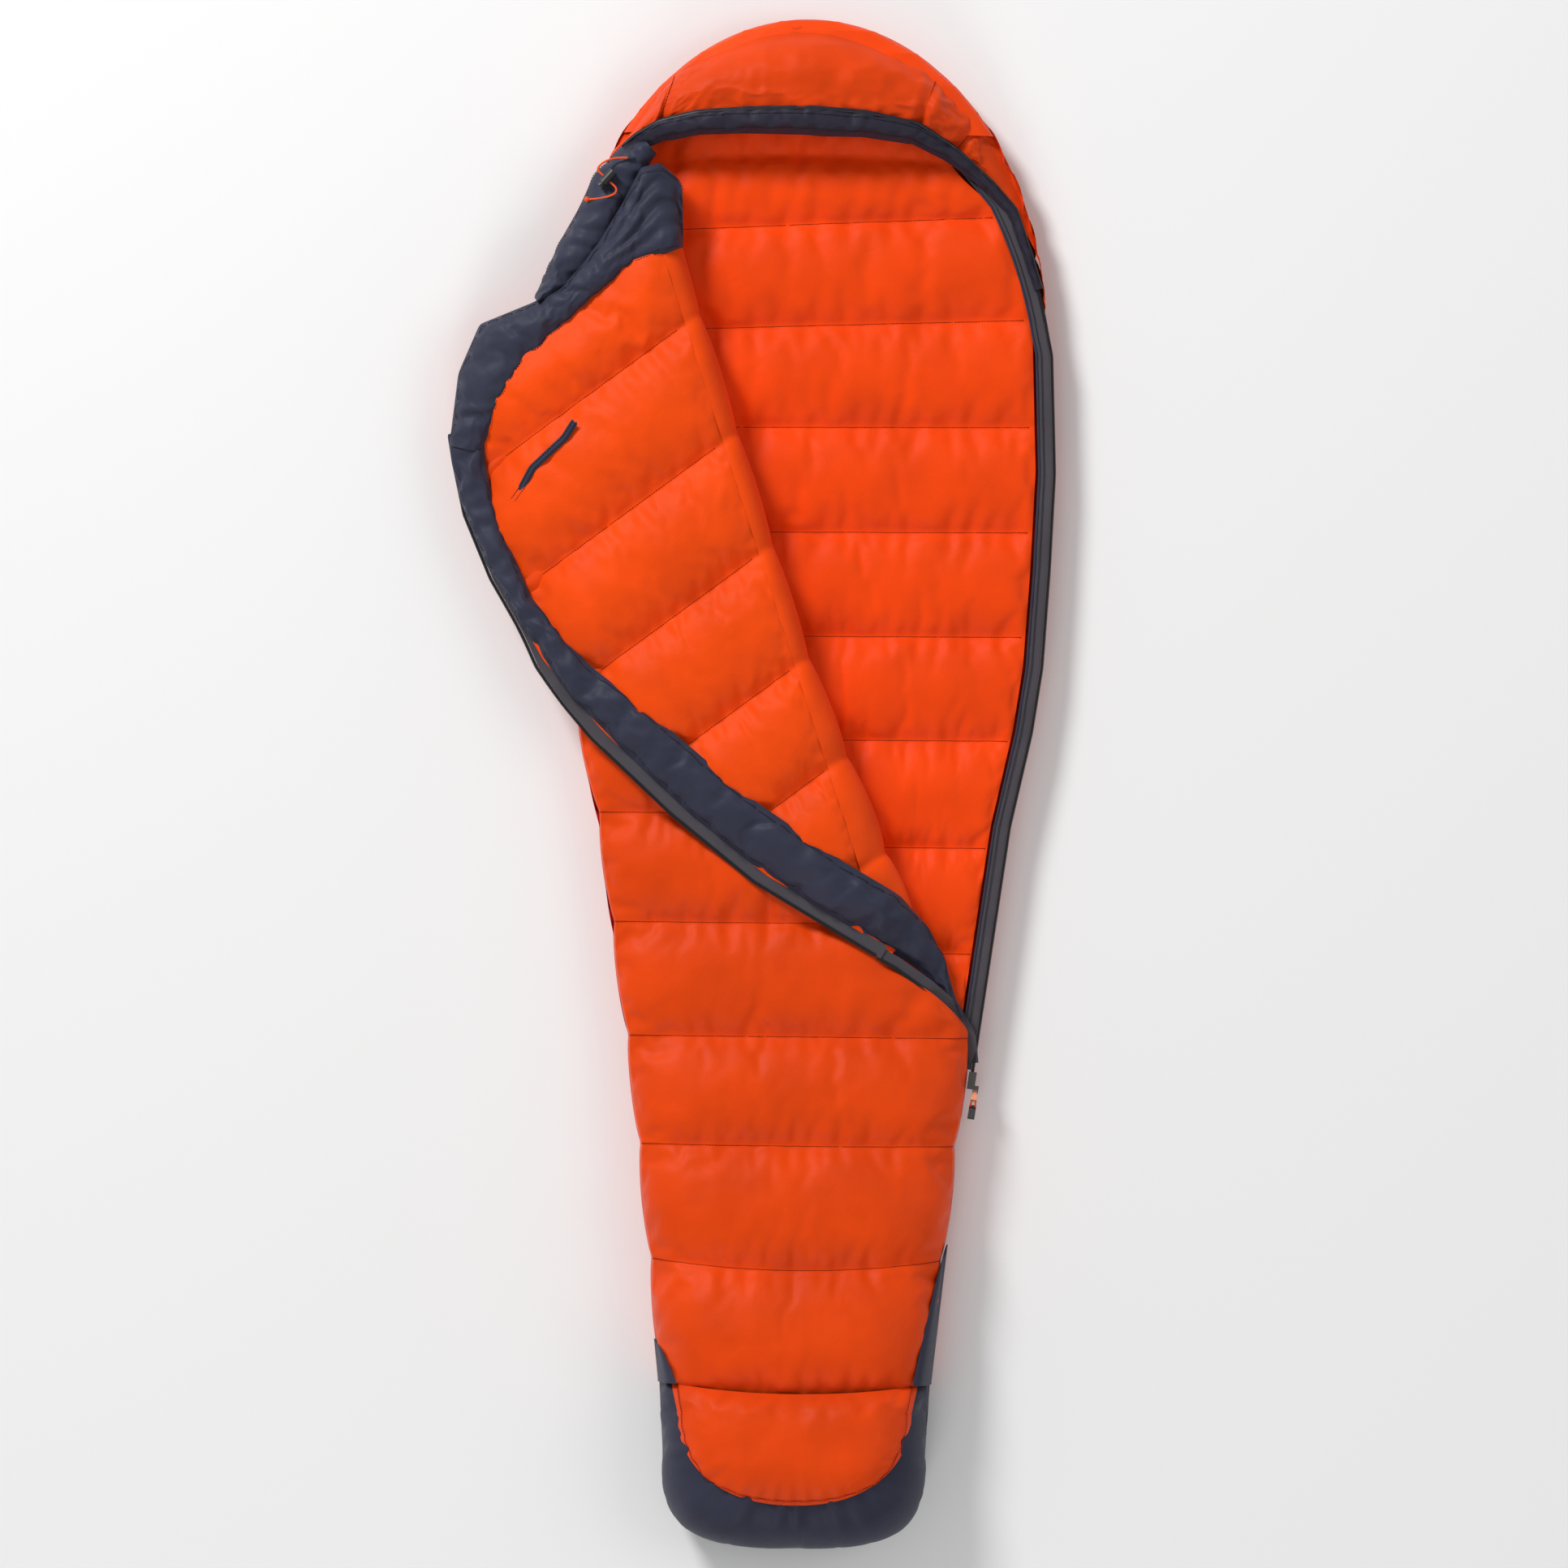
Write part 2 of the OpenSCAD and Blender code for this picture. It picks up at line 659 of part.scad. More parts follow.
// ---- Hood drawcord's free end, its lock and its knot, lying on the left collar ----
cord_z = 107;
cord_route = [
  [-259, 895, 100.5], [-266, 895, 100.5], [-274, 894.5, 101], [-282, 893, 102],
  [-289, 890.5, 103], [-295, 887, 104.5], [-299, 883.5, 106], [-301.5, 880, cord_z],
  [-302, 877, cord_z], [-300, 874, cord_z], [-289, 864, cord_z], [-278, 854, cord_z],
  [-275.5, 851, cord_z], [-275, 847, cord_z], [-277, 843.5, cord_z], [-281, 841, 106],
  [-288, 838.5, 104], [-297, 836.5, 101], [-306, 835.5, 97], [-314, 835, 92]
];
knot_radius = 4;

module hood_drawcord_end() {
  color(outer_orange) cord(cord_route, cord_size);
}

module drawcord_exit_sleeve() {
  color(navy) translate(cord_route[0]) rotate([0, 90, 0]) cylinder(r = 2.6, h = 8, $fn = 32);
}

module drawcord_knot() {
  last = cord_route[len(cord_route) - 1];
  color(outer_orange) translate(last + [-knot_radius + 0.4, 0, -2]) sphere(r = knot_radius, $fn = 32);
}

// The lock's barrel lies along +Y of its own frame and the cord crosses it along X.
lock_at = [-289, 864, cord_z];
lock_turn = 138;
lock_radius = 7;
lock_bore = 4.6;
button_radius = 4.3;
button_travel = 3;
barrel_low = -14.5;
barrel_high = 8;
spring_low = -13.2;
plunger_low = -6.2;

module on_lock() {
  translate(lock_at) rotate([0, 0, lock_turn]) children();
}

module lock_rod(radius, low, high) {
  translate([0, low, 0]) rotate([-90, 0, 0]) cylinder(r = radius, h = high - low, $fn = 48);
}

module cross_hole(radius, y, half_length) {
  translate([-half_length, y, 0]) rotate([0, 90, 0]) cylinder(r = radius, h = 2 * half_length, $fn = 32);
}

module cord_lock_barrel() {
  color("black") on_lock() difference() {
    lock_rod(lock_radius, barrel_low, barrel_high);
    lock_rod(lock_bore, spring_low, barrel_high + 1);
    cross_hole(2.2, 0, 10);
  }
}

module cord_lock_button() {
  color("dimgray") on_lock() difference() {
    union() {
      lock_rod(button_radius, plunger_low, barrel_high + button_travel + 0.2);
      lock_rod(lock_radius - 0.8, barrel_high + button_travel, barrel_high + button_travel + 3.5);
    }
    lock_rod(3.8, plunger_low - 1, plunger_low + button_travel + 0.3);
    for (y = [0.3, 1.5, 2.7]) cross_hole(2.1, y, 5);
  }
}

// The spring as a plain sleeve; the button's hollow end closes over it.
module cord_lock_spring() {
  color("silver") on_lock() difference() {
    lock_rod(3.5, spring_low + 0.1, plunger_low - 0.1);
    lock_rod(2.3, spring_low - 1, plunger_low + 1);
  }
}

back_shell();
leg_back_shell();
back_fill();
back_lining();
zip_edge_binding();
shoulder_side_panel();
top_panel_shell();
top_panel_fill();
top_panel_lining();
left_draft_collar();
footbox_shell();
footbox_fill();
footbox_lining();
foot_insert_panel();
back_zip_tape();
back_zip_coil();
zip_bottom_stop();
zip_top_stop();
hood_drawcord_end();
drawcord_exit_sleeve();
drawcord_knot();
fold_shell();
fold_fill();
fold_lining();
flap_shell();
flap_fill();
flap_lining();
flap_draft_collar();
zip_draft_tube();
flap_zip_tape();
flap_zip_coil();
inner_pocket_bag();
inner_pocket_binding();
hood_back_shell();
hood_back_fill();
hood_back_lining();
hood_crown_panel();
hood_left_panel();
hood_right_panel();
hood_fill();
hood_lining();
hood_face_band();
hood_channel_drawcord();
zip_slider_body();
zip_pull_tab();
zip_pull_cord();
zip_pull_grip();
cord_lock_barrel();
cord_lock_button();
cord_lock_spring();
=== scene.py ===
"""Looks of a quilted mummy sleeping bag: cloth, zips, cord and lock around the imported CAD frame.

Lengths in this script are in millimetres until a mesh is made. The bag lies on its back with its
head towards +Y and its zip side towards +X. Places on the folded flap are given as (s, p): s runs
down the fold from the neck to the zip, and p to the left of it.
"""
import math

import bpy
import numpy as np
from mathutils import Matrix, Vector


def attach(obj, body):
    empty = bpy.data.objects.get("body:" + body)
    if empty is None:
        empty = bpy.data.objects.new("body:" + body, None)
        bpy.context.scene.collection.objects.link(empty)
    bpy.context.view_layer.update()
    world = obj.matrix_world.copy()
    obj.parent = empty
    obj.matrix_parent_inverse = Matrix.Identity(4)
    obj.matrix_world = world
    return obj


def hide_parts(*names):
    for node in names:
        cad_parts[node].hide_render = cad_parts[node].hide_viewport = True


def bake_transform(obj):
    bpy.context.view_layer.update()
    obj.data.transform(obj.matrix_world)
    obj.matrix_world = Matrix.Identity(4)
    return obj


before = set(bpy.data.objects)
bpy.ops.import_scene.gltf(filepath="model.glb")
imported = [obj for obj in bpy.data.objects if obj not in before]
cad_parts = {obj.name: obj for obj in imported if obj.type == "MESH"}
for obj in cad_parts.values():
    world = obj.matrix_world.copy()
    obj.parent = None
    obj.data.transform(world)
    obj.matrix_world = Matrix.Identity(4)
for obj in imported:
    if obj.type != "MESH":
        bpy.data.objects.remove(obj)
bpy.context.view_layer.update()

MM = 0.001
scene = bpy.context.scene


# ---------------------------------------------------------------- small maths
def lookup(*points):
    """A function that joins the (x, y) points with straight lines."""
    xs, ys = zip(*points)
    return lambda v: np.interp(v, xs, ys)


def mix(a, b, t):
    return a + (b - a) * t


def smooth(t):
    t = np.clip(t, 0, 1)
    return t * t * (3 - 2 * t)


def bump(distance, width):
    return np.exp(-((distance / width) ** 2))


def grain(x, y, seed=0):
    """Smooth noise from -1 to 1, with cells one unit wide."""
    x, y = np.broadcast_arrays(np.asarray(x, float), np.asarray(y, float))
    xi, yi = np.floor(x), np.floor(y)
    fx, fy = smooth(x - xi), smooth(y - yi)

    def corner(i, j):
        h = np.sin((xi + i) * 127.1 + (yi + j) * 311.7 + seed * 74.7) * 43758.5453
        return 2 * (h - np.floor(h)) - 1

    low = mix(corner(0, 0), corner(1, 0), fx)
    high = mix(corner(0, 1), corner(1, 1), fx)
    return mix(low, high, fy)


def crumple(x, y, seed=0):
    """Soft creases: two sizes of noise, folded so that the ridges are sharper than the hollows."""
    broad = 1 - 2 * np.abs(grain(x, y, seed))
    fine = 1 - 2 * np.abs(grain(2.3 * x + 5, 2.3 * y, seed + 1))
    return 0.7 * broad + 0.3 * fine


def spaced(breaks, pitch):
    """Positions that include every break, with about one pitch between neighbours."""
    out = [breaks[0]]
    for a, b in zip(breaks, breaks[1:]):
        count = max(1, round(abs(b - a) / pitch))
        out += [mix(a, b, k / count) for k in range(1, count + 1)]
    return np.array(out)


def near_seam(positions, seams):
    """Distance from each position to the nearest seam, and the width of the chamber it is in."""
    seams = np.array(sorted(seams), float)
    k = np.clip(np.searchsorted(seams, positions) - 1, 0, len(seams) - 2)
    low, high = seams[k], seams[k + 1]
    return np.minimum(np.abs(positions - low), np.abs(positions - high)), high - low


def chamber(positions, seams):
    """0 on a seam, rising steeply and then rounding to 1 in the middle of a chamber."""
    distance, width = near_seam(positions, seams)
    return np.clip(np.sin(np.pi * np.clip(distance / width, 0, 0.5)), 0, 1) ** 0.62


def puckers(x, positions, seams, seed=0):
    """Small gathers that the thread pulls up beside each seam."""
    distance, _ = near_seam(positions, seams)
    return 3.2 * bump(distance - 10, 11)[:, None] * grain(x / 15, positions[:, None] / 90, seed)


def resampled(line, count):
    """The polyline's points, count of them, evenly spaced."""
    step = np.linalg.norm(np.diff(line, axis=0), axis=1)
    length = np.concatenate([[0], np.cumsum(step)])
    at = np.linspace(0, length[-1], count)
    return np.stack([np.interp(at, length, line[:, k]) for k in range(line.shape[1])], 1)


# ---------------------------------------------------------------- meshes and cloth
def grid_faces(rows, cols):
    j, i = np.mgrid[0 : rows - 1, 0 : cols - 1]
    a = (j * cols + i).ravel()
    return np.stack([a, a + 1, a + cols + 1, a + cols], 1).tolist()


def new_object(name, verts, faces, material=None, flat=False):
    mesh = bpy.data.meshes.new(name)
    mesh.from_pydata((np.asarray(verts, float).reshape(-1, 3) * MM).tolist(), [], faces)
    mesh.update()
    if not flat:
        mesh.shade_smooth()
    obj = bpy.data.objects.new(name, mesh)
    scene.collection.objects.link(obj)
    if material:
        mesh.materials.append(material)
    return obj


def normals_of(grid):
    n = np.cross(np.gradient(grid, axis=1), np.gradient(grid, axis=0))
    return n / np.maximum(np.linalg.norm(n, axis=2, keepdims=True), 1e-9)


def pushed(grid, distance):
    """The sheet moved along its own normals."""
    return grid + normals_of(grid) * np.asarray(distance)[..., None]


def blown(grid, pinned, growth=0.03, pressure=12.0, cap=8.0, frames=14):
    """The sheet after Blender's cloth has blown it up between its pinned seams.

    growth is the extra cloth sewn in, which buckles into puckers along the seams; cap is the
    furthest that a point may move.
    """
    start = pushed(grid, 0.5 * grain(*np.indices(grid.shape[:2]) / 2.2, seed=3) * ~pinned)
    obj = new_object("cloth", start, grid_faces(*grid.shape[:2]))
    group = obj.vertex_groups.new(name="pinned")
    group.add(np.flatnonzero(pinned.ravel()).tolist(), 1.0, "ADD")
    cloth = obj.modifiers.new("cloth", "CLOTH")
    settings = cloth.settings
    settings.quality = 5
    settings.mass = 0.1
    settings.tension_stiffness = 12
    settings.compression_stiffness = 12
    settings.shear_stiffness = 4
    settings.bending_stiffness = 0.05
    settings.tension_damping = 8
    settings.compression_damping = 8
    settings.shear_damping = 4
    settings.air_damping = 2
    settings.vertex_group_mass = "pinned"
    settings.shrink_min = -growth
    settings.use_pressure = True
    settings.uniform_pressure_force = pressure
    settings.effector_weights.gravity = 0
    cloth.collision_settings.use_collision = False
    for step in range(1, frames + 1):
        scene.frame_set(step)
    seen = obj.evaluated_get(bpy.context.evaluated_depsgraph_get())
    co = np.zeros(len(seen.data.vertices) * 3, np.float32)
    seen.data.vertices.foreach_get("co", co)
    bpy.data.objects.remove(obj)
    scene.frame_set(1)
    move = co.reshape(grid.shape) / MM - grid
    length = np.maximum(np.linalg.norm(move, axis=2, keepdims=True), 1e-6)
    return grid + move * (cap * np.tanh(length / cap) / length)


def pins(shape, rows=(), cols=(), edges=True):
    held = np.zeros(shape[:2], bool)
    held[list(rows), :] = True
    held[:, list(cols)] = True
    if edges:
        held[[0, -1], :] = True
        held[:, [0, -1]] = True
    return held


def sheet_object(name, grid, material, body, subdivide=1):
    """A finished sheet of cloth. body is one body's name, or a tuple (a, b, start, end), for which the sheet is only
    baked in place, attached to no body and not bent.
    """
    obj = new_object(name, grid, grid_faces(*grid.shape[:2]), material)
    if subdivide:
        obj.modifiers.new("subdivision", "SUBSURF").levels = subdivide
        obj.modifiers["subdivision"].render_levels = subdivide
    carry(obj, body)
    return obj


def carry(obj, body):
    if isinstance(body, str):
        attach(obj, body)
    else:
        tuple(body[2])
        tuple(body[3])
        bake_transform(obj)


def point(xyz):
    return tuple(float(c) * MM for c in xyz)


def tube_object(name, path, radius, material, body, sides=8):
    """A round tube along a path, closed at both ends. radius is one number or one per point."""
    path = np.asarray(path, float)
    radius = np.broadcast_to(np.asarray(radius, float), len(path))
    along = np.gradient(path, axis=0)
    along /= np.linalg.norm(along, axis=1, keepdims=True)
    side = np.cross(along, [0, 0, 1.0])
    side /= np.maximum(np.linalg.norm(side, axis=1, keepdims=True), 1e-9)
    up = np.cross(side, along)
    angle = np.linspace(0, 2 * math.pi, sides, endpoint=False)
    ring = (
        path[:, None]
        + radius[:, None, None] * np.cos(angle)[None, :, None] * side[:, None]
        + radius[:, None, None] * np.sin(angle)[None, :, None] * up[:, None]
    )
    faces = []
    for k in range(len(path) - 1):
        for j in range(sides):
            a, b = k * sides + j, k * sides + (j + 1) % sides
            faces.append([a, b, b + sides, a + sides])
    faces.append(list(range(sides - 1, -1, -1)))
    faces.append([(len(path) - 1) * sides + j for j in range(sides)])
    obj = new_object(name, ring, faces, material)
    carry(obj, body)
    return obj


def box_row(centres, along, across, up, size):
    """One small box at each centre, as (verts, faces). size is (length, width, height)."""
    length, width, height = size
    corners = np.array([[a, b, c] for a in (-1, 1) for b in (-1, 1) for c in (-1, 1)], float) / 2
    shape = corners * [length, width, height]
    verts = centres[:, None] + (
        shape[None, :, 0:1] * along[:, None]
        + shape[None, :, 1:2] * across[:, None]
        + shape[None, :, 2:3] * up[:, None]
    )
    quads = np.array([[0, 1, 3, 2], [4, 6, 7, 5], [0, 4, 5, 1], [2, 3, 7, 6], [0, 2, 6, 4], [1, 5, 7, 3]])
    faces = (quads[None] + 8 * np.arange(len(centres))[:, None, None]).reshape(-1, 4)
    return verts.reshape(-1, 3), faces


def frames_along(line):
    along = np.gradient(line, axis=0)
    along /= np.maximum(np.linalg.norm(along, axis=1, keepdims=True), 1e-9)
    across = np.cross([0, 0, 1.0], along)
    across /= np.maximum(np.linalg.norm(across, axis=1, keepdims=True), 1e-9)
    return along, across, np.cross(along, across)


# Stitches 3.3 mm long at a 4.2 mm pitch nearly join into lines; in the darkened orange thread these lines are painted
# shade in the quilting seams.
STITCH_PITCH = 4.2
STITCH_SIZE = (3.3, 1.0, 0.9)


def stitches_object(name, lines, material, body, lift=0.5):
    """Rows of thread that lie in the seams. In the darkened orange thread the near-continuous rows also paint the shade
    in the seams' creases.
    """
    verts, faces, start = [], [], 0
    for line in lines:
        length = np.linalg.norm(np.diff(line, axis=0), axis=1).sum()
        centres = resampled(np.asarray(line, float), max(3, int(length / STITCH_PITCH)))
        along, across, up = frames_along(centres)
        v, f = box_row(centres + up * lift, along, across, up, STITCH_SIZE)
        verts.append(v)
        faces.append(f + start)
        start += len(v)
    obj = new_object(name, np.concatenate(verts), np.concatenate(faces).tolist(), material, flat=True)
    carry(obj, body)
    return obj


# ---------------------------------------------------------------- materials
def cloth_material(name, colour, rough=0.5, sheen=0.05, crinkle=0.0009):
    """Woven nylon: a fine weave, small crinkles and a slight change of tone."""
    mat = bpy.data.materials.new(name)
    mat.use_nodes = True
    nodes, links = mat.node_tree.nodes, mat.node_tree.links
    bsdf = nodes["Principled BSDF"]
    bsdf.inputs["Roughness"].default_value = rough
    bsdf.inputs["Sheen Weight"].default_value = sheen
    bsdf.inputs["Specular IOR Level"].default_value = 0.12
    coords = nodes.new("ShaderNodeTexCoord")

    def texture(kind, scale, **settings):
        node = nodes.new(kind)
        node.inputs["Scale"].default_value = scale
        for key, value in settings.items():
            setattr(node, key, value)
        links.new(coords.outputs["Object"], node.inputs["Vector"])
        return node

    tone = texture("ShaderNodeTexNoise", 12)
    ramp = nodes.new("ShaderNodeValToRGB")
    ramp.color_ramp.elements[0].position = 0.3
    ramp.color_ramp.elements[1].position = 0.7
    ramp.color_ramp.elements[0].color = [c * 0.9 for c in colour] + [1]
    ramp.color_ramp.elements[1].color = [min(1, c * 1.06) for c in colour] + [1]
    links.new(tone.outputs["Fac"], ramp.inputs["Fac"])
    links.new(ramp.outputs["Color"], bsdf.inputs["Base Color"])

    warp = texture("ShaderNodeTexWave", 330, bands_direction="X")
    weft = texture("ShaderNodeTexWave", 330, bands_direction="Y")
    cross = nodes.new("ShaderNodeMath")
    cross.operation = "ADD"
    links.new(warp.outputs["Fac"], cross.inputs[0])
    links.new(weft.outputs["Fac"], cross.inputs[1])
    weave_bump = nodes.new("ShaderNodeBump")
    weave_bump.inputs["Strength"].default_value = 0.25
    weave_bump.inputs["Distance"].default_value = 0.00008
    links.new(cross.outputs["Value"], weave_bump.inputs["Height"])
    creases = texture("ShaderNodeTexNoise", 55)
    creases.inputs["Detail"].default_value = 4
    creases.inputs["Distortion"].default_value = 0.6
    crease_bump = nodes.new("ShaderNodeBump")
    crease_bump.inputs["Strength"].default_value = 0.7
    crease_bump.inputs["Distance"].default_value = crinkle
    links.new(creases.outputs["Fac"], crease_bump.inputs["Height"])
    links.new(weave_bump.outputs["Normal"], crease_bump.inputs["Normal"])
    links.new(crease_bump.outputs["Normal"], bsdf.inputs["Normal"])
    return mat


def hard_material(name, colour, rough=0.4, metal=0.0, grit=0.15):
    """Metal, plastic or cord with a faintly uneven surface and wear in its gloss."""
    mat = bpy.data.materials.new(name)
    mat.use_nodes = True
    nodes, links = mat.node_tree.nodes, mat.node_tree.links
    bsdf = nodes["Principled BSDF"]
    bsdf.inputs["Base Color"].default_value = (*colour, 1)
    bsdf.inputs["Metallic"].default_value = metal
    coords = nodes.new("ShaderNodeTexCoord")
    noise = nodes.new("ShaderNodeTexNoise")
    noise.inputs["Scale"].default_value = 700
    links.new(coords.outputs["Object"], noise.inputs["Vector"])
    gloss = nodes.new("ShaderNodeMapRange")
    gloss.inputs["To Min"].default_value = rough * 0.8
    gloss.inputs["To Max"].default_value = rough * 1.2
    links.new(noise.outputs["Fac"], gloss.inputs["Value"])
    links.new(gloss.outputs["Result"], bsdf.inputs["Roughness"])
    relief = nodes.new("ShaderNodeBump")
    relief.inputs["Strength"].default_value = grit
    relief.inputs["Distance"].default_value = 0.0002
    links.new(noise.outputs["Fac"], relief.inputs["Height"])
    links.new(relief.outputs["Normal"], bsdf.inputs["Normal"])
    return mat


LINING = cloth_material("lining", (0.92, 0.062, 0.001), rough=0.52)
FLAP_LINING = cloth_material("flap_lining", (0.92, 0.072, 0.001), rough=0.52)
OUTER = cloth_material("outer", (0.80, 0.06, 0.001), rough=0.5)
HOOD_OUTER = cloth_material("hood_outer", (0.72, 0.052, 0.001), rough=0.5)
NAVY = cloth_material("navy", (0.037, 0.039, 0.066), rough=0.48)
FOOT_NAVY = cloth_material("foot_navy", (0.035, 0.036, 0.062), rough=0.5)
BAND_NAVY = cloth_material("band_navy", (0.027, 0.024, 0.04), rough=0.5)
TAPE = cloth_material("tape", (0.075, 0.068, 0.08), rough=0.75, crinkle=0.0003)
# The orange thread is darkened far below the fabric's colour: besides the thread, it paints the shade in the seams'
# creases.
THREAD_AND_SEAM_SHADE = cloth_material("thread_and_painted_seam_shade", (0.24, 0.01, 0.001), rough=0.8, crinkle=0.0002)
NAVY_THREAD = cloth_material("navy_thread", (0.02, 0.02, 0.035), rough=0.7, crinkle=0.0002)
COIL = hard_material("coil", (0.012, 0.012, 0.016), rough=0.35)
SLIDER = hard_material("slider", (0.16, 0.15, 0.15), rough=0.35, metal=1.0)
COPPER = hard_material("copper_tab", (0.55, 0.2, 0.1), rough=0.32, metal=1.0)
CORD = hard_material("cord", (0.83, 0.085, 0.004), rough=0.75, grit=0.8)
PLASTIC = hard_material("plastic", (0.013, 0.013, 0.015), rough=0.42)
STEEL = hard_material("steel", (0.5, 0.5, 0.52), rough=0.3, metal=1.0)
FLOOR = hard_material("floor", (0.93, 0.93, 0.93), rough=0.9, grit=0.02)


# ---------------------------------------------------------------- plan and heights of the bag
TOE_Y, TOE_DEPTH, TOE_HALF = -960, 140, 187
CROWN_Y, HOOD_DEPTH, CROWN_HALF = 650, 450, 343
outline_half = lookup(
    (TOE_Y, TOE_HALF), (-858, 193), (-671, 213), (-440, 238), (-60, 291),
    (76, 321), (170, 335), (310, 344), (450, 350), (CROWN_Y, CROWN_HALF),
)
SEAM_TOP = 58
crest = lookup((-980, 170), (-900, 160), (-700, 135), (-500, 115), (-380, 98), (-280, 90), (-200, 88))


def half_width(y):
    y = np.asarray(y, float)
    toe = TOE_HALF * np.cbrt(1 - np.clip((TOE_Y - y) / TOE_DEPTH, 0, 1) ** 3)
    crown = CROWN_HALF * np.sqrt(1 - np.clip((y - CROWN_Y) / HOOD_DEPTH, 0, 1) ** 2)
    return np.where(y < TOE_Y, toe, np.where(y > CROWN_Y, crown, outline_half(y)))


def plan(u, r):
    """x and y of column u (-1 to 1) on row r. Rows past the toes' or crown's centre wrap round it."""
    u, r = np.broadcast_arrays(np.asarray(u, float), np.asarray(r, float))
    toe = np.clip((TOE_Y - r) / TOE_DEPTH, 0, 1)
    crown = np.clip((r - CROWN_Y) / HOOD_DEPTH, 0, 1)
    x = u * outline_half(np.clip(r, TOE_Y, CROWN_Y))
    x = x * np.cbrt(1 - toe**3 / 2) * np.sqrt(1 - crown**2 / 2)
    y = np.where(r < TOE_Y, TOE_Y - TOE_DEPTH * toe * np.cbrt(1 - np.abs(u) ** 3 / 2), r)
    y = np.where(r > CROWN_Y, CROWN_Y + HOOD_DEPTH * crown * np.sqrt(1 - u**2 / 2), y)
    return x, y


def dome(x, y):
    """0 at the outline, rising steeply to 1 over the legs and feet."""
    u = np.clip(np.abs(x) / np.maximum(half_width(y), 1), 0, 1)
    toe = np.clip((TOE_Y - y) / TOE_DEPTH, 0, 1)
    return np.sqrt((1 - u**4) * (1 - toe**4))


def top_z(x, y):
    return SEAM_TOP + (crest(y) - SEAM_TOP) * dome(x, y)


def domed_columns(count, width, height):
    """Columns from -1 to 1, evenly spaced along a domed cross-section."""
    t = np.linspace(-1, 1, 2001)
    section = np.stack([width * t, height * np.sqrt(1 - t**4), t], 1)
    length = np.concatenate([[0], np.cumsum(np.linalg.norm(np.diff(section[:, :2], axis=0), axis=1))])
    return np.interp(np.linspace(0, length[-1], count), length, t)


# The fold: s runs down it and p to its left.
FOLD_START = np.array([-247.0, 884.0])
FOLD_RUN = np.array([0.316457, -0.948607])
FOLD_LEFT = np.array([-0.948607, -0.316457])
FLAP_Z = 90
flap_edge = lookup(
    (300, 385), (400, 396), (500, 388), (640, 358), (760, 309), (900, 233), (1030, 149), (1185, 14), (1240, -34)
)
flap_neck = lookup((0, 22), (80, 85), (145, 128), (250, 140), (300, 158), (340, 210), (385, 312))
roll_edge = lookup(
    (0, -50), (60, -38), (134, -27), (300, -26), (600, -24), (753, -24), (925, -36), (1042, -46), (1180, -54)
)


def fold_xy(s, p):
    s, p = np.broadcast_arrays(np.asarray(s, float), np.asarray(p, float))
    return FOLD_START[0] + s * FOLD_RUN[0] + p * FOLD_LEFT[0], FOLD_START[1] + s * FOLD_RUN[1] + p * FOLD_LEFT[1]


def fold_sp(x, y):
    dx, dy = x - FOLD_START[0], y - FOLD_START[1]
    return dx * FOLD_RUN[0] + dy * FOLD_RUN[1], dx * FOLD_LEFT[0] + dy * FOLD_LEFT[1]


def fold_x(y):
    """x of the fold line at a given y."""
    return FOLD_START[0] + (FOLD_START[1] - y) / -FOLD_RUN[1] * FOLD_RUN[0]


def flap_depth(s, p):
    from_zip = flap_edge(s) - p
    from_neck = s - flap_neck(p)
    return 13 + 21 * smooth((from_zip - 40) / 80) * smooth((from_neck - 40) / 90)


def droop(x, y):
    return 46 * np.clip((-x - half_width(y) + 70) / 230, 0, 1) ** 1.5


def pad_top(x, y):
    """Height of the folded pad's upper face, rounding down over the roll on its right."""
    s, p = fold_sp(x, y)
    flat = FLAP_Z + flap_depth(s, np.maximum(p, 0)) - droop(x, y)
    past = np.clip(-p / -roll_edge(s), 0, 1)
    return 84 + (flat - 84) * np.sqrt(1 - past**2)


# ---------------------------------------------------------------- back
BACK_SEAMS = [-1100, -1030, -950, -858, -683, -519, -364, -243, -91, 63, 212, 362, 513, 659, 805, 904, 1000, 1100]


def back_shell_grid():
    rows = spaced(BACK_SEAMS, 13)
    u = domed_columns(57, 240, 60)[::-1]
    x, y = plan(u[None], rows[:, None])
    across = np.abs(x) / np.maximum(half_width(y), 1)
    toe = np.clip((TOE_Y - y) / TOE_DEPTH, 0, 1)
    crown = np.hypot(x / CROWN_HALF, (y - CROWN_Y) / HOOD_DEPTH) * (y > CROWN_Y)
    edge = np.clip(np.maximum((across**4 + toe**4) ** 0.25, crown), 0, 1)
    side = np.clip((edge - 0.7) / 0.3, 0, 1)
    z = 46 * (1 - np.sqrt(1 - side**2))
    puff = chamber(rows, BACK_SEAMS)[:, None] * side * 7 - 5 * side
    grid = pushed(np.stack([x, y, z], 2), puff)
    held = (edge < 0.72) | pins(grid.shape, [np.argmin(abs(rows - s)) for s in BACK_SEAMS])
    grid = blown(grid, held, growth=0.025, cap=6)
    grid[..., 2] = np.maximum(grid[..., 2], 0.6)
    return grid, rows


HOOD_BEND = ("bag_body", "hood", (0, 0.90, 0.044), (0, 0.95, 0.044))
back_grid, back_rows = back_shell_grid()
foot_seam = int(np.argmin(abs(back_rows + 858)))
back_shell = sheet_object("quilted_back_shell", back_grid[foot_seam:], OUTER, HOOD_BEND, 0)
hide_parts("back_shell", "leg_back_shell", "back_fill", "hood_back_shell", "hood_back_fill")
foot_back = sheet_object("quilted_foot_back", back_grid[: foot_seam + 1], FOOT_NAVY, "bag_body", 0)
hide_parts("leg_back_shell")

